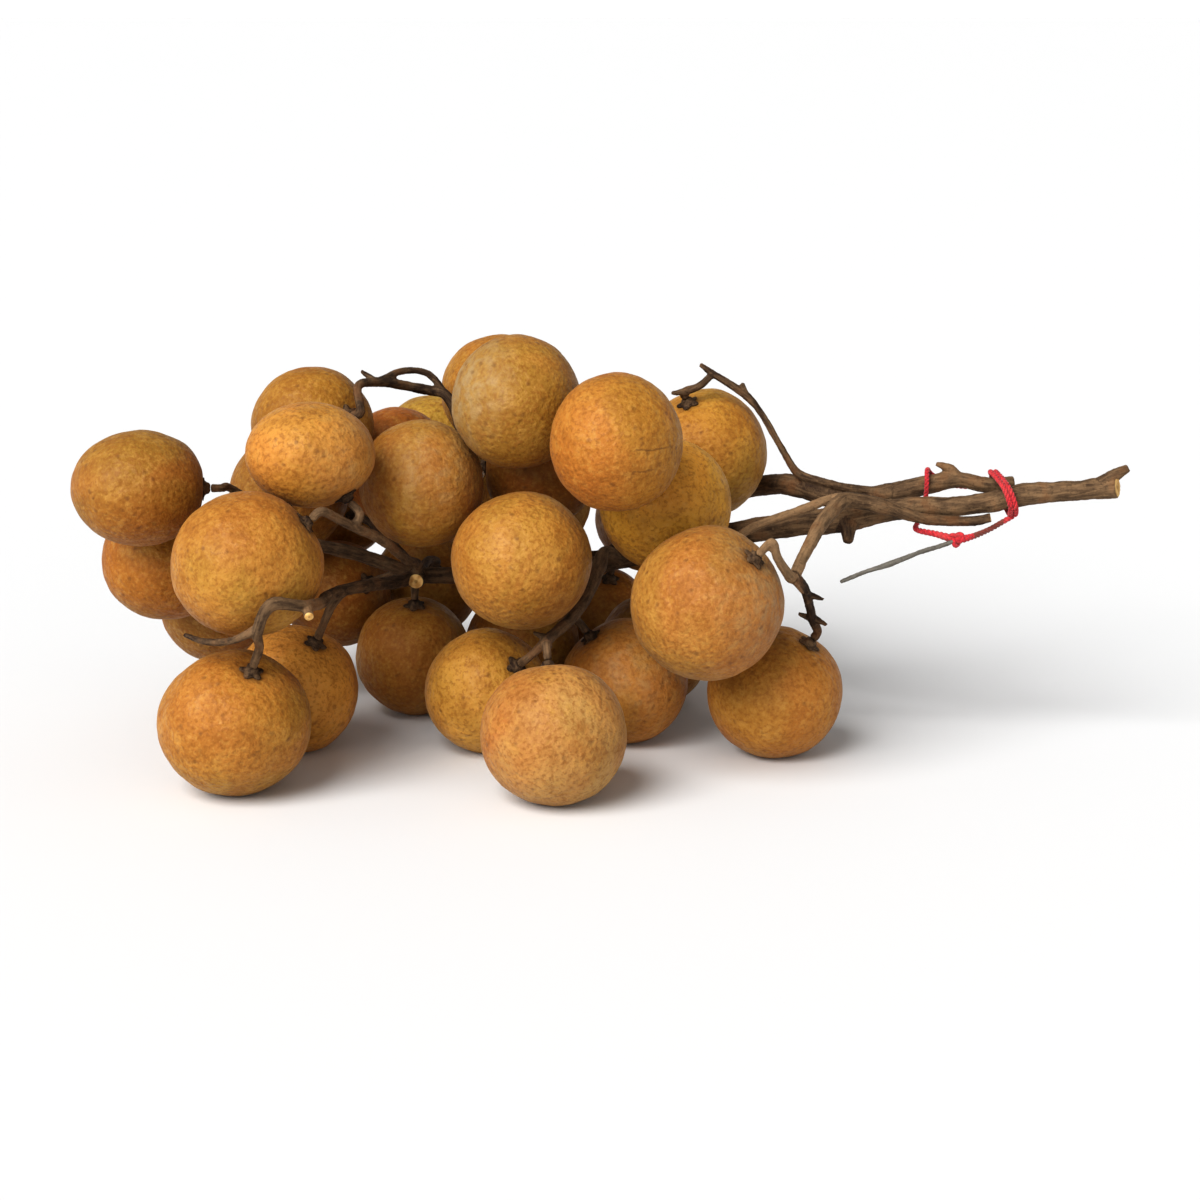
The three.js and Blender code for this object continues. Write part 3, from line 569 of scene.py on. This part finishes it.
def new_piece(name, mesh, material, slot, *nodes):
    """Adds a mesh as a piece of the object, in place of the solids that it stands for."""
    piece = bpy.data.objects.new(name, mesh)
    bpy.context.scene.collection.objects.link(piece)
    mesh.materials.append(material)
    mesh.shade_smooth()
    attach(piece, "root")
    if nodes:
        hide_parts(*nodes)


def add_attribute(mesh, name, kind, values):
    attribute = mesh.attributes.new(name, kind, "POINT")
    key = "vector" if kind == "FLOAT_VECTOR" else "value"
    attribute.data.foreach_set(key, np.asarray(values, dtype=np.float32).ravel())


def tube_faces(rings, around, start, closed):
    """The faces of a tube whose points are numbered ring by ring from start."""
    faces = []
    for ring in range(rings if closed else rings - 1):
        here = start + ring * around
        there = start + ((ring + 1) % rings) * around
        for side in range(around):
            beside = (side + 1) % around
            faces.append((here + side, here + beside, there + beside, there + side))
    if not closed:
        faces.append(tuple(start + side for side in reversed(range(around))))
        last = start + (rings - 1) * around
        faces.append(tuple(last + side for side in range(around)))
    return faces


def tube(line, around, closed=False, first_index=0, swell=None):
    """Points and faces of a tube along a line. swell changes its radius from place to place."""
    points = []
    for (place, radius), (_, across, aside) in zip(line, line_frames(line, closed)):
        for side in range(around):
            turn = 2 * math.pi * side / around
            out = across * math.cos(turn) + aside * math.sin(turn)
            reach = radius * (swell(place + out * radius) if swell else 1.0)
            points.append(place + out * reach)
    return points, tube_faces(len(line), around, first_index, closed)


class Nodes:
    """A material's nodes, made and joined in few words."""

    def __init__(self, name):
        self.material = bpy.data.materials.new(name)
        self.material.use_nodes = True
        self.tree = self.material.node_tree
        self.shader = self.tree.nodes["Principled BSDF"]

    def add(self, kind, inputs=None, **settings):
        node = self.tree.nodes.new(kind)
        for key, value in settings.items():
            setattr(node, key, value)
        for key, value in (inputs or {}).items():
            self.join(value, node.inputs[key])
        return node

    def join(self, value, socket):
        if isinstance(value, bpy.types.NodeSocket):
            self.tree.links.new(value, socket)
        else:
            socket.default_value = value

    def place(self):
        return self.add("ShaderNodeTexCoord").outputs["Object"]

    def attribute(self, name, output="Fac"):
        return self.add("ShaderNodeAttribute", attribute_name=name).outputs[output]

    def noise(self, vector, scale, detail=3.0, roughness=0.5, distortion=0.0):
        inputs = {"Vector": vector, "Scale": scale, "Detail": detail,
                  "Roughness": roughness, "Distortion": distortion}
        return self.add("ShaderNodeTexNoise", inputs).outputs["Fac"]

    def cells(self, vector, scale, output="Distance", feature="F1", smooth=None):
        inputs = {"Vector": vector, "Scale": scale}
        if smooth is not None:
            inputs["Smoothness"] = smooth
        return self.add("ShaderNodeTexVoronoi", inputs, feature=feature).outputs[output]

    def spread(self, value, low, high, to_low=0.0, to_high=1.0):
        """A value's range from low to high, carried smoothly over to to_low to to_high."""
        node = self.add("ShaderNodeMapRange", {
            "Value": value, "From Min": low, "From Max": high,
            "To Min": to_low, "To Max": to_high}, clamp=True, interpolation_type="SMOOTHSTEP")
        return node.outputs["Result"]

    def math(self, operation, first, second=0.0):
        node = self.add("ShaderNodeMath", {0: first, 1: second}, operation=operation)
        return node.outputs[0]

    def mix(self, share, first, second):
        """The blend of two colours. Sockets 0, 6 and 7 are its share and the colours."""
        inputs = {0: share, 6: first, 7: second}
        return self.add("ShaderNodeMix", inputs, data_type="RGBA").outputs[2]

    def bump(self, height, distance, strength):
        inputs = {"Height": height, "Distance": distance, "Strength": strength}
        return self.add("ShaderNodeBump", inputs).outputs["Normal"]


def linear(colour, factor=1.0):
    """A display colour as the linear red, green, blue and alpha that a socket takes."""
    values = [min(1.0, max(0.0, channel * factor)) for channel in colour]
    return (*[channel ** DISPLAY_GAMMA for channel in values], 1.0)


def skin_colour(colour):
    """A colour of the skins as seen, darkened by how strongly the studio lights it."""
    return linear(colour, SKIN_SHARE)


def blended(first, second, share):
    return tuple(a + (b - a) * share for a, b in zip(first, second))


def scratch_mask(nodes, place, waver, fruit, height, start, finish):
    """How much of a thin level scratch lies at a place of the fruit's skin."""
    middle = in_metres(fruit.middle)
    parts = nodes.add("ShaderNodeSeparateXYZ", {0: place}).outputs
    over = nodes.math("SUBTRACT", parts["Z"], middle.z + height * MM)
    over = nodes.math("ADD", over, nodes.math("MULTIPLY", waver, SCRATCH_WAVER * MM))
    thin = nodes.spread(nodes.math("ABSOLUTE", over), SCRATCH_EDGE * MM, SCRATCH_CORE * MM)
    begins = nodes.spread(parts["X"], middle.x + start * MM,
                          middle.x + (start + SCRATCH_START) * MM)
    ends = nodes.spread(parts["X"], middle.x + finish * MM,
                        middle.x + (finish - SCRATCH_END) * MM)
    return nodes.math("MULTIPLY", nodes.math("MULTIPLY", thin, begins),
                      nodes.math("MULTIPLY", ends, SCRATCH_SHARE))


def skin_material(fruit):
    """Thin leathery skin: mottled tan, finely pebbled, with small brown specks."""
    nodes = Nodes("skin_" + fruit.name)
    place = nodes.place()
    shifted = nodes.add("ShaderNodeVectorMath", {0: place, 1: (fruit.phase, 0.0, fruit.phase)},
                        operation="ADD").outputs[0]
    broad = nodes.noise(shifted, SKIN_BROAD, 4.0, 0.55, 0.6)
    patches = nodes.noise(shifted, SKIN_PATCHES, 4.0, 0.6, 0.4)
    grain = nodes.noise(shifted, SKIN_GRAIN, 2.0, 0.6)
    tint = nodes.noise(shifted, SKIN_TINT, 2.0, 0.5, 0.8)

    brown = skin_colour(OCHRE_BROWN)
    pale = skin_colour(PALE_TAN)
    dots_brown = skin_colour(DEEP_BROWN)
    colour = nodes.mix(nodes.spread(broad, 0.35, 0.68), skin_colour(fruit.colour),
                       skin_colour(blended(fruit.colour, OCHRE_BROWN, 0.5 * fruit.dark + 0.15)))
    if fruit.green:
        share = nodes.spread(tint, 0.45, 0.62, 0.0, 0.55 * fruit.green + 0.1)
        colour = nodes.mix(share, colour, skin_colour(OLIVE))
    if fruit.red:
        share = nodes.spread(tint, 0.54, 0.38, 0.0, 0.55 * fruit.red + 0.1)
        colour = nodes.mix(share, colour, skin_colour(RUSSET))
    red_side = nodes.math("MULTIPLY", nodes.attribute("red_side"), nodes.spread(tint, 0.3, 0.6))
    colour = nodes.mix(red_side, colour, skin_colour(RUSSET))
    colour = nodes.mix(nodes.spread(patches, 0.5, 0.72, 0.0, 0.36), colour, brown)
    colour = nodes.mix(nodes.spread(patches, 0.48, 0.32, 0.0, 0.25), colour, pale)
    colour = nodes.mix(nodes.spread(grain, 0.5, 0.64, 0.0, 0.45), colour, brown)
    colour = nodes.mix(nodes.spread(grain, 0.46, 0.32, 0.0, 0.24), colour, pale)
    # Grey mixed in on the marked sides: dust, and on right_big's rim a painted sheen.
    dust_and_sheen = nodes.math("MULTIPLY", nodes.attribute("dusty_side"),
                       nodes.spread(patches, 0.6, 0.35, 0.3, 1.0))
    colour = nodes.mix(dust_and_sheen, colour, skin_colour(DUST_AND_SHEEN_GREY))

    wobble = nodes.add("ShaderNodeTexNoise", {"Vector": shifted, "Scale": SKIN_BEND})
    bent = nodes.add("ShaderNodeVectorMath",
                     {0: wobble.outputs["Color"], 1: (SKIN_BEND_REACH,) * 3, 2: shifted},
                     operation="MULTIPLY_ADD").outputs[0]
    dot_size = nodes.cells(bent, SKIN_DOTS)
    dot_kind = nodes.cells(bent, SKIN_DOTS, "Color")
    dot_round = nodes.spread(dot_size, 0.36, 0.08)
    dot_kept = nodes.spread(dot_kind, 0.52, 0.66)
    dots = nodes.math("MULTIPLY", dot_round, dot_kept)
    colour = nodes.mix(nodes.math("MULTIPLY", dots, 0.42), colour, dots_brown)
    for scratch in SCRATCHES.get(fruit.name, ()):
        mask = scratch_mask(nodes, place, patches, fruit, *scratch)
        colour = nodes.mix(mask, colour, dots_brown)

    stem_end = nodes.spread(nodes.attribute("stem_end"), 0.25, 0.95, 0.0, 0.7)
    colour = nodes.mix(stem_end, colour, dots_brown)
    nodes.join(colour, nodes.shader.inputs["Base Color"])

    roughness = nodes.spread(patches, 0.3, 0.7, 0.5, 0.66)
    nodes.join(roughness, nodes.shader.inputs["Roughness"])
    nodes.shader.inputs["Specular IOR Level"].default_value = 0.25
    nodes.shader.inputs["Sheen Weight"].default_value = 0.03
    nodes.shader.inputs["Sheen Roughness"].default_value = 0.5

    pebbles = nodes.cells(bent, SKIN_PEBBLES, feature="SMOOTH_F1", smooth=0.7)
    height = nodes.math("ADD", nodes.math("MULTIPLY", pebbles, -0.8),
                        nodes.math("MULTIPLY", grain, 0.8))
    nodes.join(nodes.bump(height, BUMP_DEPTH, 0.75), nodes.shader.inputs["Normal"])
    return nodes.material


def side_share(sides, fruit, directions):
    """How far each direction lies on the marked side of a fruit, from none to all."""
    if fruit.name not in sides:
        return np.zeros(len(directions))
    side, strength = sides[fruit.name]
    facing = directions @ np.array(Vector(side).normalized())
    return strength * np.clip((facing - SIDE_FROM) / SIDE_FADE, 0.0, 1.0)


def sphere_directions(fineness):
    """Unit directions and triangles of an evenly divided sphere."""
    ball = bmesh.new()
    bmesh.ops.create_icosphere(ball, subdivisions=fineness, radius=1.0)
    directions = np.array([vertex.co[:] for vertex in ball.verts])
    directions /= np.linalg.norm(directions, axis=1)[:, None]
    triangles = [tuple(vertex.index for vertex in face.verts) for face in ball.faces]
    ball.free()
    return directions, triangles


def fine_relief(points, phase):
    """Small dents and swellings of the skin, in mm, at points given in mm."""
    offset = Vector((phase, -phase, 2 * phase))
    heights = []
    for point in points:
        place = Vector(point) + offset
        dents = noise.noise(place * DENT_SCALE) * DENT_HEIGHT
        ripples = noise.noise(place * RIPPLE_SCALE) * RIPPLE_HEIGHT
        heights.append(dents + ripples)
    return np.array(heights)


def add_fruit(fruit, directions, triangles):
    radius = fruit.skin_radius(directions)
    points = directions * radius[:, None] + np.array(fruit.middle)
    points += directions * (fine_relief(points, fruit.phase) - RELIEF_DROP)[:, None]
    if fruit.rests:
        points[:, 2] = np.maximum(points[:, 2], 0.0)
    mesh = new_mesh("fruit_" + fruit.name, points, triangles)
    near_stem = np.exp(-(fruit.stem_angle(directions) / STEM_END_SPREAD) ** 2)
    add_attribute(mesh, "stem_end", "FLOAT", near_stem)
    add_attribute(mesh, "dusty_side", "FLOAT", side_share(DUST_AND_SHEEN_SIDES, fruit, directions))
    add_attribute(mesh, "red_side", "FLOAT", side_share(RED_SIDES, fruit, directions))
    new_piece("fruit_" + fruit.name, mesh, skin_material(fruit), "skin_" + fruit.name,
              "fruit_" + fruit.name)


def bark_material(name, dark, light, warm):
    """Dry bark: streaks along the twig, brown patches, pale specks, and cream cut faces."""
    nodes = Nodes(name)
    bark = nodes.attribute("bark", "Vector")
    place = nodes.place()
    stretched = nodes.add("ShaderNodeVectorMath", {0: bark, 1: (1.0, BARK_STRETCH, 1.0)},
                          operation="MULTIPLY").outputs[0]
    streaks = nodes.noise(stretched, BARK_STREAKS, 5.0, 0.65, 0.4)
    patches = nodes.noise(place, BARK_PATCHES, 3.0, 0.6)
    grain = nodes.noise(place, BARK_GRAIN, 3.0, 0.65)
    tone = nodes.attribute("tone")

    lit = nodes.math("ADD", tone, nodes.spread(streaks, 0.3, 0.7, -0.17, 0.17))
    lit = nodes.math("ADD", lit, nodes.spread(patches, 0.35, 0.65, -0.1, 0.1))
    colour = nodes.mix(nodes.spread(lit, 0.0, 1.0), linear(dark), linear(light))
    colour = nodes.mix(nodes.spread(patches, 0.5, 0.7, 0.0, 0.45), colour, linear(warm))
    colour = nodes.mix(nodes.spread(grain, 0.52, 0.7, 0.0, 0.35), colour, linear(dark, 0.7))
    specks = nodes.spread(nodes.cells(place, BARK_SPECKS), 0.2, 0.1, 0.0, 0.22)
    colour = nodes.mix(specks, colour, linear(light))

    cut = nodes.attribute("cut")
    rings = nodes.noise(place, WOOD_RINGS, 2.0, 0.5)
    wood = nodes.mix(nodes.spread(rings, 0.35, 0.65), linear(WOOD_PALE), linear(WOOD_BROWN))
    wood = nodes.mix(nodes.spread(cut, 0.72, 0.86, 0.0, 0.6), wood, linear(PITH_BROWN))
    colour = nodes.mix(nodes.spread(cut, 0.12, 0.2), colour, wood)
    nodes.join(colour, nodes.shader.inputs["Base Color"])
    nodes.shader.inputs["Roughness"].default_value = 0.82
    nodes.shader.inputs["Specular IOR Level"].default_value = 0.25
    height = nodes.math("ADD", streaks, nodes.math("MULTIPLY", grain, 0.4))
    nodes.join(nodes.bump(height, BUMP_DEPTH, 0.55), nodes.shader.inputs["Normal"])
    return nodes.material


def voxel_skin(name, points, faces, voxel):
    """One closed skin round overlapping tubes, which also rounds off where they join."""
    rough = bpy.data.objects.new(name + "_rough", new_mesh(name + "_rough", points, faces))
    bpy.context.scene.collection.objects.link(rough)
    remesh = rough.modifiers.new("skin", "REMESH")
    remesh.mode = "VOXEL"
    remesh.voxel_size = voxel * MM
    relax = rough.modifiers.new("relax", "SMOOTH")
    relax.factor = 0.5
    relax.iterations = 2
    bpy.context.view_layer.update()
    graph = bpy.context.evaluated_depsgraph_get()
    mesh = bpy.data.meshes.new_from_object(rough.evaluated_get(graph))
    mesh.name = name
    bpy.data.objects.remove(rough)
    return mesh


class Branches:
    """The middle lines of a stem's twigs, to look up what a point of the bark belongs to."""

    def __init__(self):
        self.samples = []

    def add(self, line, tone, cut):
        frames = line_frames(line)
        along = 0.0
        last = len(line) - 1
        first_tone, last_tone = tone if isinstance(tone, tuple) else (tone, tone)
        for i, (place, radius) in enumerate(line):
            if i:
                along += (place - line[i - 1][0]).length
            ahead, across, aside = frames[i]
            is_cut = (cut == "first" and i == 0) or (cut == "last" and i == last)
            outward = -ahead if i == 0 else ahead
            tone_here = first_tone + (last_tone - first_tone) * i / last
            self.samples.append((place, radius, across, aside, along, tone_here,
                                 outward if is_cut else None))

    def ready(self):
        self.tree = kdtree.KDTree(len(self.samples))
        for i, sample in enumerate(self.samples):
            self.tree.insert(sample[0], i)
        self.tree.balance()

    def nearest(self, point):
        best = None
        for _, index, distance in self.tree.find_n(point, 4):
            sample = self.samples[index]
            depth = distance - sample[1]
            if best is None or depth < best[0]:
                best = (depth, sample)
        return best[1]


def bark_swell(place):
    """Knobs and slight waves of a twig, as a share of its radius."""
    knobs = KNOB_SHARE * noise.noise(place * KNOB_SCALE)
    return 1.0 + knobs + WAVE_SHARE * noise.noise(place * WAVE_SCALE)


def add_stem(node, slot, twigs, material, voxel=BARK_VOXEL):
    branches = Branches()
    points = []
    faces = []
    for twig in twigs:
        line = smooth_line(twig_rows(twig), own_fruit=twig.get("to"))
        branches.add(line, twig["tone"], twig.get("cut"))
        more, sides = tube(line, TWIG_AROUND, first_index=len(points), swell=bark_swell)
        points += more
        faces += sides
    branches.ready()
    mesh = voxel_skin(node, points, faces, voxel)

    count = len(mesh.vertices)
    places = np.empty(count * 3)
    normals = np.empty(count * 3)
    mesh.vertices.foreach_get("co", places)
    mesh.vertices.foreach_get("normal", normals)
    places = places.reshape(count, 3)
    normals = normals.reshape(count, 3)
    lifts = np.zeros(count)
    tones = []
    cuts = []
    bark = []
    for i in range(count):
        place = Vector(places[i]) / MM + MIDDLE
        middle, radius, across, aside, along, tone, outward = branches.nearest(place)
        off = place - middle
        turn = math.atan2(off.dot(aside), off.dot(across))
        round_it = (math.cos(turn) * RIDGE_ROUND * radius, math.sin(turn) * RIDGE_ROUND * radius)
        ridge = noise.noise(Vector((*round_it, along * RIDGE_ALONG)))
        fine = noise.noise(place * GRAIN_SCALE)
        cut = 0.0
        if outward is not None and off.dot(outward) > -CUT_DEPTH:
            cut = max(0.0, 1 - (off - outward * off.dot(outward)).length / radius)
        if not cut:
            lifts[i] = (RIDGE_HEIGHT * ridge + GRAIN_HEIGHT * fine) * MM
        tones.append(tone)
        cuts.append(cut)
        bark.append((turn * radius, along, 0.0))
    places += normals * lifts[:, None]
    mesh.vertices.foreach_set("co", places.ravel())
    mesh.update()
    add_attribute(mesh, "tone", "FLOAT", tones)
    add_attribute(mesh, "cut", "FLOAT", cuts)
    add_attribute(mesh, "bark", "FLOAT_VECTOR", bark)
    new_piece(node, mesh, material, slot, node)


def cup_points(fruit):
    """The dried cup at a stalk's end: five short petals that lie on the skin."""
    side = fruit.stem_end.orthogonal().normalized()
    other = fruit.stem_end.cross(side)
    points = []
    for share, height in CUP_RINGS:
        for step in range(CUP_AROUND):
            turn = 2 * math.pi * step / CUP_AROUND
            petal = abs(math.cos(CUP_PETALS * turn / 2 + fruit.phase)) ** 1.5
            edge = CUP_EDGE + PETAL_REACH * petal
            reach = share if height > CUP_BRIM else share * edge
            off = side * math.cos(turn) + other * math.sin(turn)
            toward = fruit.stem_end * fruit.skin_at(fruit.stem_end) + off * reach
            direction = toward.normalized()
            wrinkle = noise.noise((fruit.middle + off * reach) * CUP_WRINKLES)
            lift = max(height + CUP_WRINKLE * wrinkle, CUP_LEAST)
            points.append(fruit.middle + direction * (fruit.skin_at(direction) + lift))
    faces = tube_faces(len(CUP_RINGS), CUP_AROUND, 0, False)
    return points, faces


def add_cups(name, slot, twigs, material):
    points = []
    faces = []
    for twig in twigs:
        if "to" not in twig:
            continue
        more, sides = cup_points(fruits[twig["to"]])
        faces += [tuple(index + len(points) for index in face) for face in sides]
        points += more
    mesh = new_mesh(name, points, faces)
    count = len(mesh.vertices)
    add_attribute(mesh, "tone", "FLOAT", [CUP_TONE] * count)
    add_attribute(mesh, "cut", "FLOAT", [0.0] * count)
    add_attribute(mesh, "bark", "FLOAT_VECTOR", [tuple(point[:3]) for point in points])
    new_piece(name, mesh, material, slot)


def thread_line(line, index, closed):
    """One thread of the string, winding round the string's middle line."""
    frames = line_frames(line, closed)
    count = len(line)
    length = sum((line[i][0] - line[i - 1][0]).length for i in range(1, count))
    turns = max(1, round(length / THREAD_TURN))
    wound = []
    for i, (place, radius) in enumerate(line):
        _, across, aside = frames[i]
        share = i / count if closed else i / (count - 1)
        turn = 2 * math.pi * (turns * share + index / THREADS)
        out = across * math.cos(turn) + aside * math.sin(turn)
        wound.append((place + out * radius * THREAD_OUT, radius * THREAD_RADIUS))
    return wound


def string_material():
    """Red twisted thread with a slight fuzz."""
    nodes = Nodes("red_string")
    place = nodes.place()
    fibres = nodes.noise(place, STRING_FIBRES, 3.0, 0.6)
    worn = nodes.noise(place, STRING_PATCHES, 2.0, 0.5)
    colour = nodes.mix(nodes.spread(fibres, 0.35, 0.65), linear(STRING_RED), linear(STRING_DARK))
    colour = nodes.mix(nodes.spread(worn, 0.5, 0.7, 0.0, 0.4), colour, linear(STRING_WORN))
    colour = nodes.mix(nodes.attribute("soiled"), colour, linear(STRING_BROWN_STRETCH))
    nodes.join(colour, nodes.shader.inputs["Base Color"])
    nodes.shader.inputs["Roughness"].default_value = 0.75
    nodes.shader.inputs["Sheen Weight"].default_value = 0.2
    nodes.join(nodes.bump(fibres, STRING_BUMP_DEPTH, 0.6), nodes.shader.inputs["Normal"])
    return nodes.material


def knot_line():
    """A small overhand knot: a trefoil that the strand passes through."""
    line = []
    for step in range(KNOT_STEPS):
        turn = 2 * math.pi * step / KNOT_STEPS
        x = math.sin(turn) + 2 * math.sin(2 * turn)
        y = math.cos(turn) - 2 * math.cos(2 * turn)
        z = -math.sin(3 * turn)
        off = Vector((x, z * TREFOIL_DEPTH, y)) * (KNOT_RADIUS / TREFOIL_REACH)
        line.append((KNOT_MIDDLE + off, KNOT_THREAD))
    return line


def pulled_in(rows, shift):
    """One of the two windings of the tight turn: shifted along the stems and drawn tight."""
    middle = sum((Vector(row[:3]) for row in rows), Vector()) / len(rows)
    tight = []
    for x, y, z, _ in rows:
        inward = (middle - Vector((x, y, z))).normalized() * TURN_PULL
        tight.append((x + inward.x + shift, y + inward.y, z + inward.z, TURN_RADIUS))
    return tight


def add_string():
    points = []
    faces = []
    lines = [(pulled_in(STRING_TURN, shift), True) for shift in TURN_SHIFTS]
    lines.append((STRING_STRAND, False))
    wound = []
    for rows, closed in lines:
        middle = smooth_line(rows, closed=closed, clear=False)
        middle = finer(middle, closed)
        wound += [(thread_line(middle, i, closed), closed) for i in range(THREADS)]
    wound.append((knot_line(), True))
    for line, closed in wound:
        more, sides = tube(line, THREAD_AROUND, closed, first_index=len(points))
        points += more
        faces += sides
    mesh = new_mesh("string_tie", points, faces)
    soiled = [BROWN_STRETCH_SHARE if BROWN_STRETCH_FROM < point.x < BROWN_STRETCH_TO and point.z < BROWN_STRETCH_TOP else 0.0
              for point in points]
    add_attribute(mesh, "soiled", "FLOAT", soiled)
    new_piece("string_tie", mesh, string_material(), "red_string", "string_tie")


def finer(line, closed):
    """The same line with THREAD_STEPS times as many points."""
    result = []
    count = len(line)
    for i in range(count if closed else count - 1):
        place, radius = line[i]
        following, next_radius = line[(i + 1) % count]
        for step in range(THREAD_STEPS):
            share = step / THREAD_STEPS
            result.append((place.lerp(following, share), radius + (next_radius - radius) * share))
    if not closed:
        result.append(line[-1])
    return result


def add_camera():
    data = bpy.data.cameras.new("camera")
    data.lens = CAMERA_LENS
    data.sensor_width = CAMERA_SENSOR
    data.clip_start = CAMERA_NEAR
    camera = bpy.data.objects.new("camera", data)
    bpy.context.scene.collection.objects.link(camera)
    angle = math.radians(CAMERA_ELEVATION)
    back = Vector((0.0, -math.cos(angle), math.sin(angle)))
    camera.location = in_metres(CAMERA_TARGET + back * CAMERA_DISTANCE)
    camera.rotation_euler = (math.radians(90.0) - angle, 0.0, 0.0)
    bpy.context.scene.camera = camera


def add_sun(name, direction, strength, spread):
    """A far light that shines from a direction, as wide as spread in degrees."""
    data = bpy.data.lights.new(name, "SUN")
    data.energy = strength
    data.angle = math.radians(spread)
    light = bpy.data.objects.new(name, data)
    bpy.context.scene.collection.objects.link(light)
    light.location = direction
    light.rotation_euler = Vector(direction).to_track_quat("Z", "Y").to_euler()


def add_studio():
    floor_mesh = bpy.data.meshes.new("floor")
    floor_mesh.from_pydata(
        [(-FLOOR_REACH, -FLOOR_REACH, 0), (FLOOR_REACH, -FLOOR_REACH, 0),
         (FLOOR_REACH, FLOOR_REACH, 0), (-FLOOR_REACH, FLOOR_REACH, 0)], [], [(0, 1, 2, 3)])
    floor = bpy.data.objects.new("floor", floor_mesh)
    floor.location.z = -FLOOR_DROP * MM
    bpy.context.scene.collection.objects.link(floor)
    nodes = Nodes("floor")
    nodes.shader.inputs["Base Color"].default_value = (*[FLOOR_GREY] * 3, 1.0)
    nodes.shader.inputs["Roughness"].default_value = FLOOR_ROUGHNESS
    floor_mesh.materials.append(nodes.material)

    world = bpy.data.worlds.new("studio")
    world.use_nodes = True
    tree = world.node_tree
    direction = tree.nodes.new("ShaderNodeTexCoord").outputs["Generated"]
    split = tree.nodes.new("ShaderNodeSeparateXYZ")
    tree.links.new(direction, split.inputs[0])
    fade = tree.nodes.new("ShaderNodeMapRange")
    fade.interpolation_type = "SMOOTHSTEP"
    tree.links.new(split.outputs["Z"], fade.inputs["Value"])
    fade.inputs["From Min"].default_value = 0.0
    fade.inputs["From Max"].default_value = SKY_HEIGHT
    fade.inputs["To Min"].default_value = SKY_LOW
    fade.inputs["To Max"].default_value = SKY_HIGH
    background = tree.nodes["Background"]
    background.inputs["Color"].default_value = (1.0, 1.0, 1.0, 1.0)
    tree.links.new(fade.outputs["Result"], background.inputs["Strength"])
    bpy.context.scene.world = world

    add_sun("key", *KEY_SUN)
    add_sun("fill", *FILL_SUN)
    bpy.context.scene.view_settings.view_transform = "Standard"
    bpy.context.scene.view_settings.gamma = VIEW_GAMMA


add_camera()
add_studio()

skin_directions, skin_triangles = sphere_directions(SKIN_FINENESS)
for fruit in fruits.values():
    add_fruit(fruit, skin_directions, skin_triangles)

for node, slot, twigs in (
    ("stem_long", "bark_long", STEM_LONG),
    ("stem_upper", "bark_upper", STEM_UPPER),
    ("stem_front", "bark_front", STEM_FRONT),
):
    bark = bark_material(slot, BARK_DARK, BARK_LIGHT, BARK_WARM)
    add_stem(node, slot, twigs, bark)
    add_cups("cups_" + node, slot, twigs, bark)
add_stem("dry_twig", "dry_bark", DRY_TWIG,
         bark_material("dry_bark", DRY_DARK, DRY_LIGHT, DRY_DARK), DRY_VOXEL)
add_string()
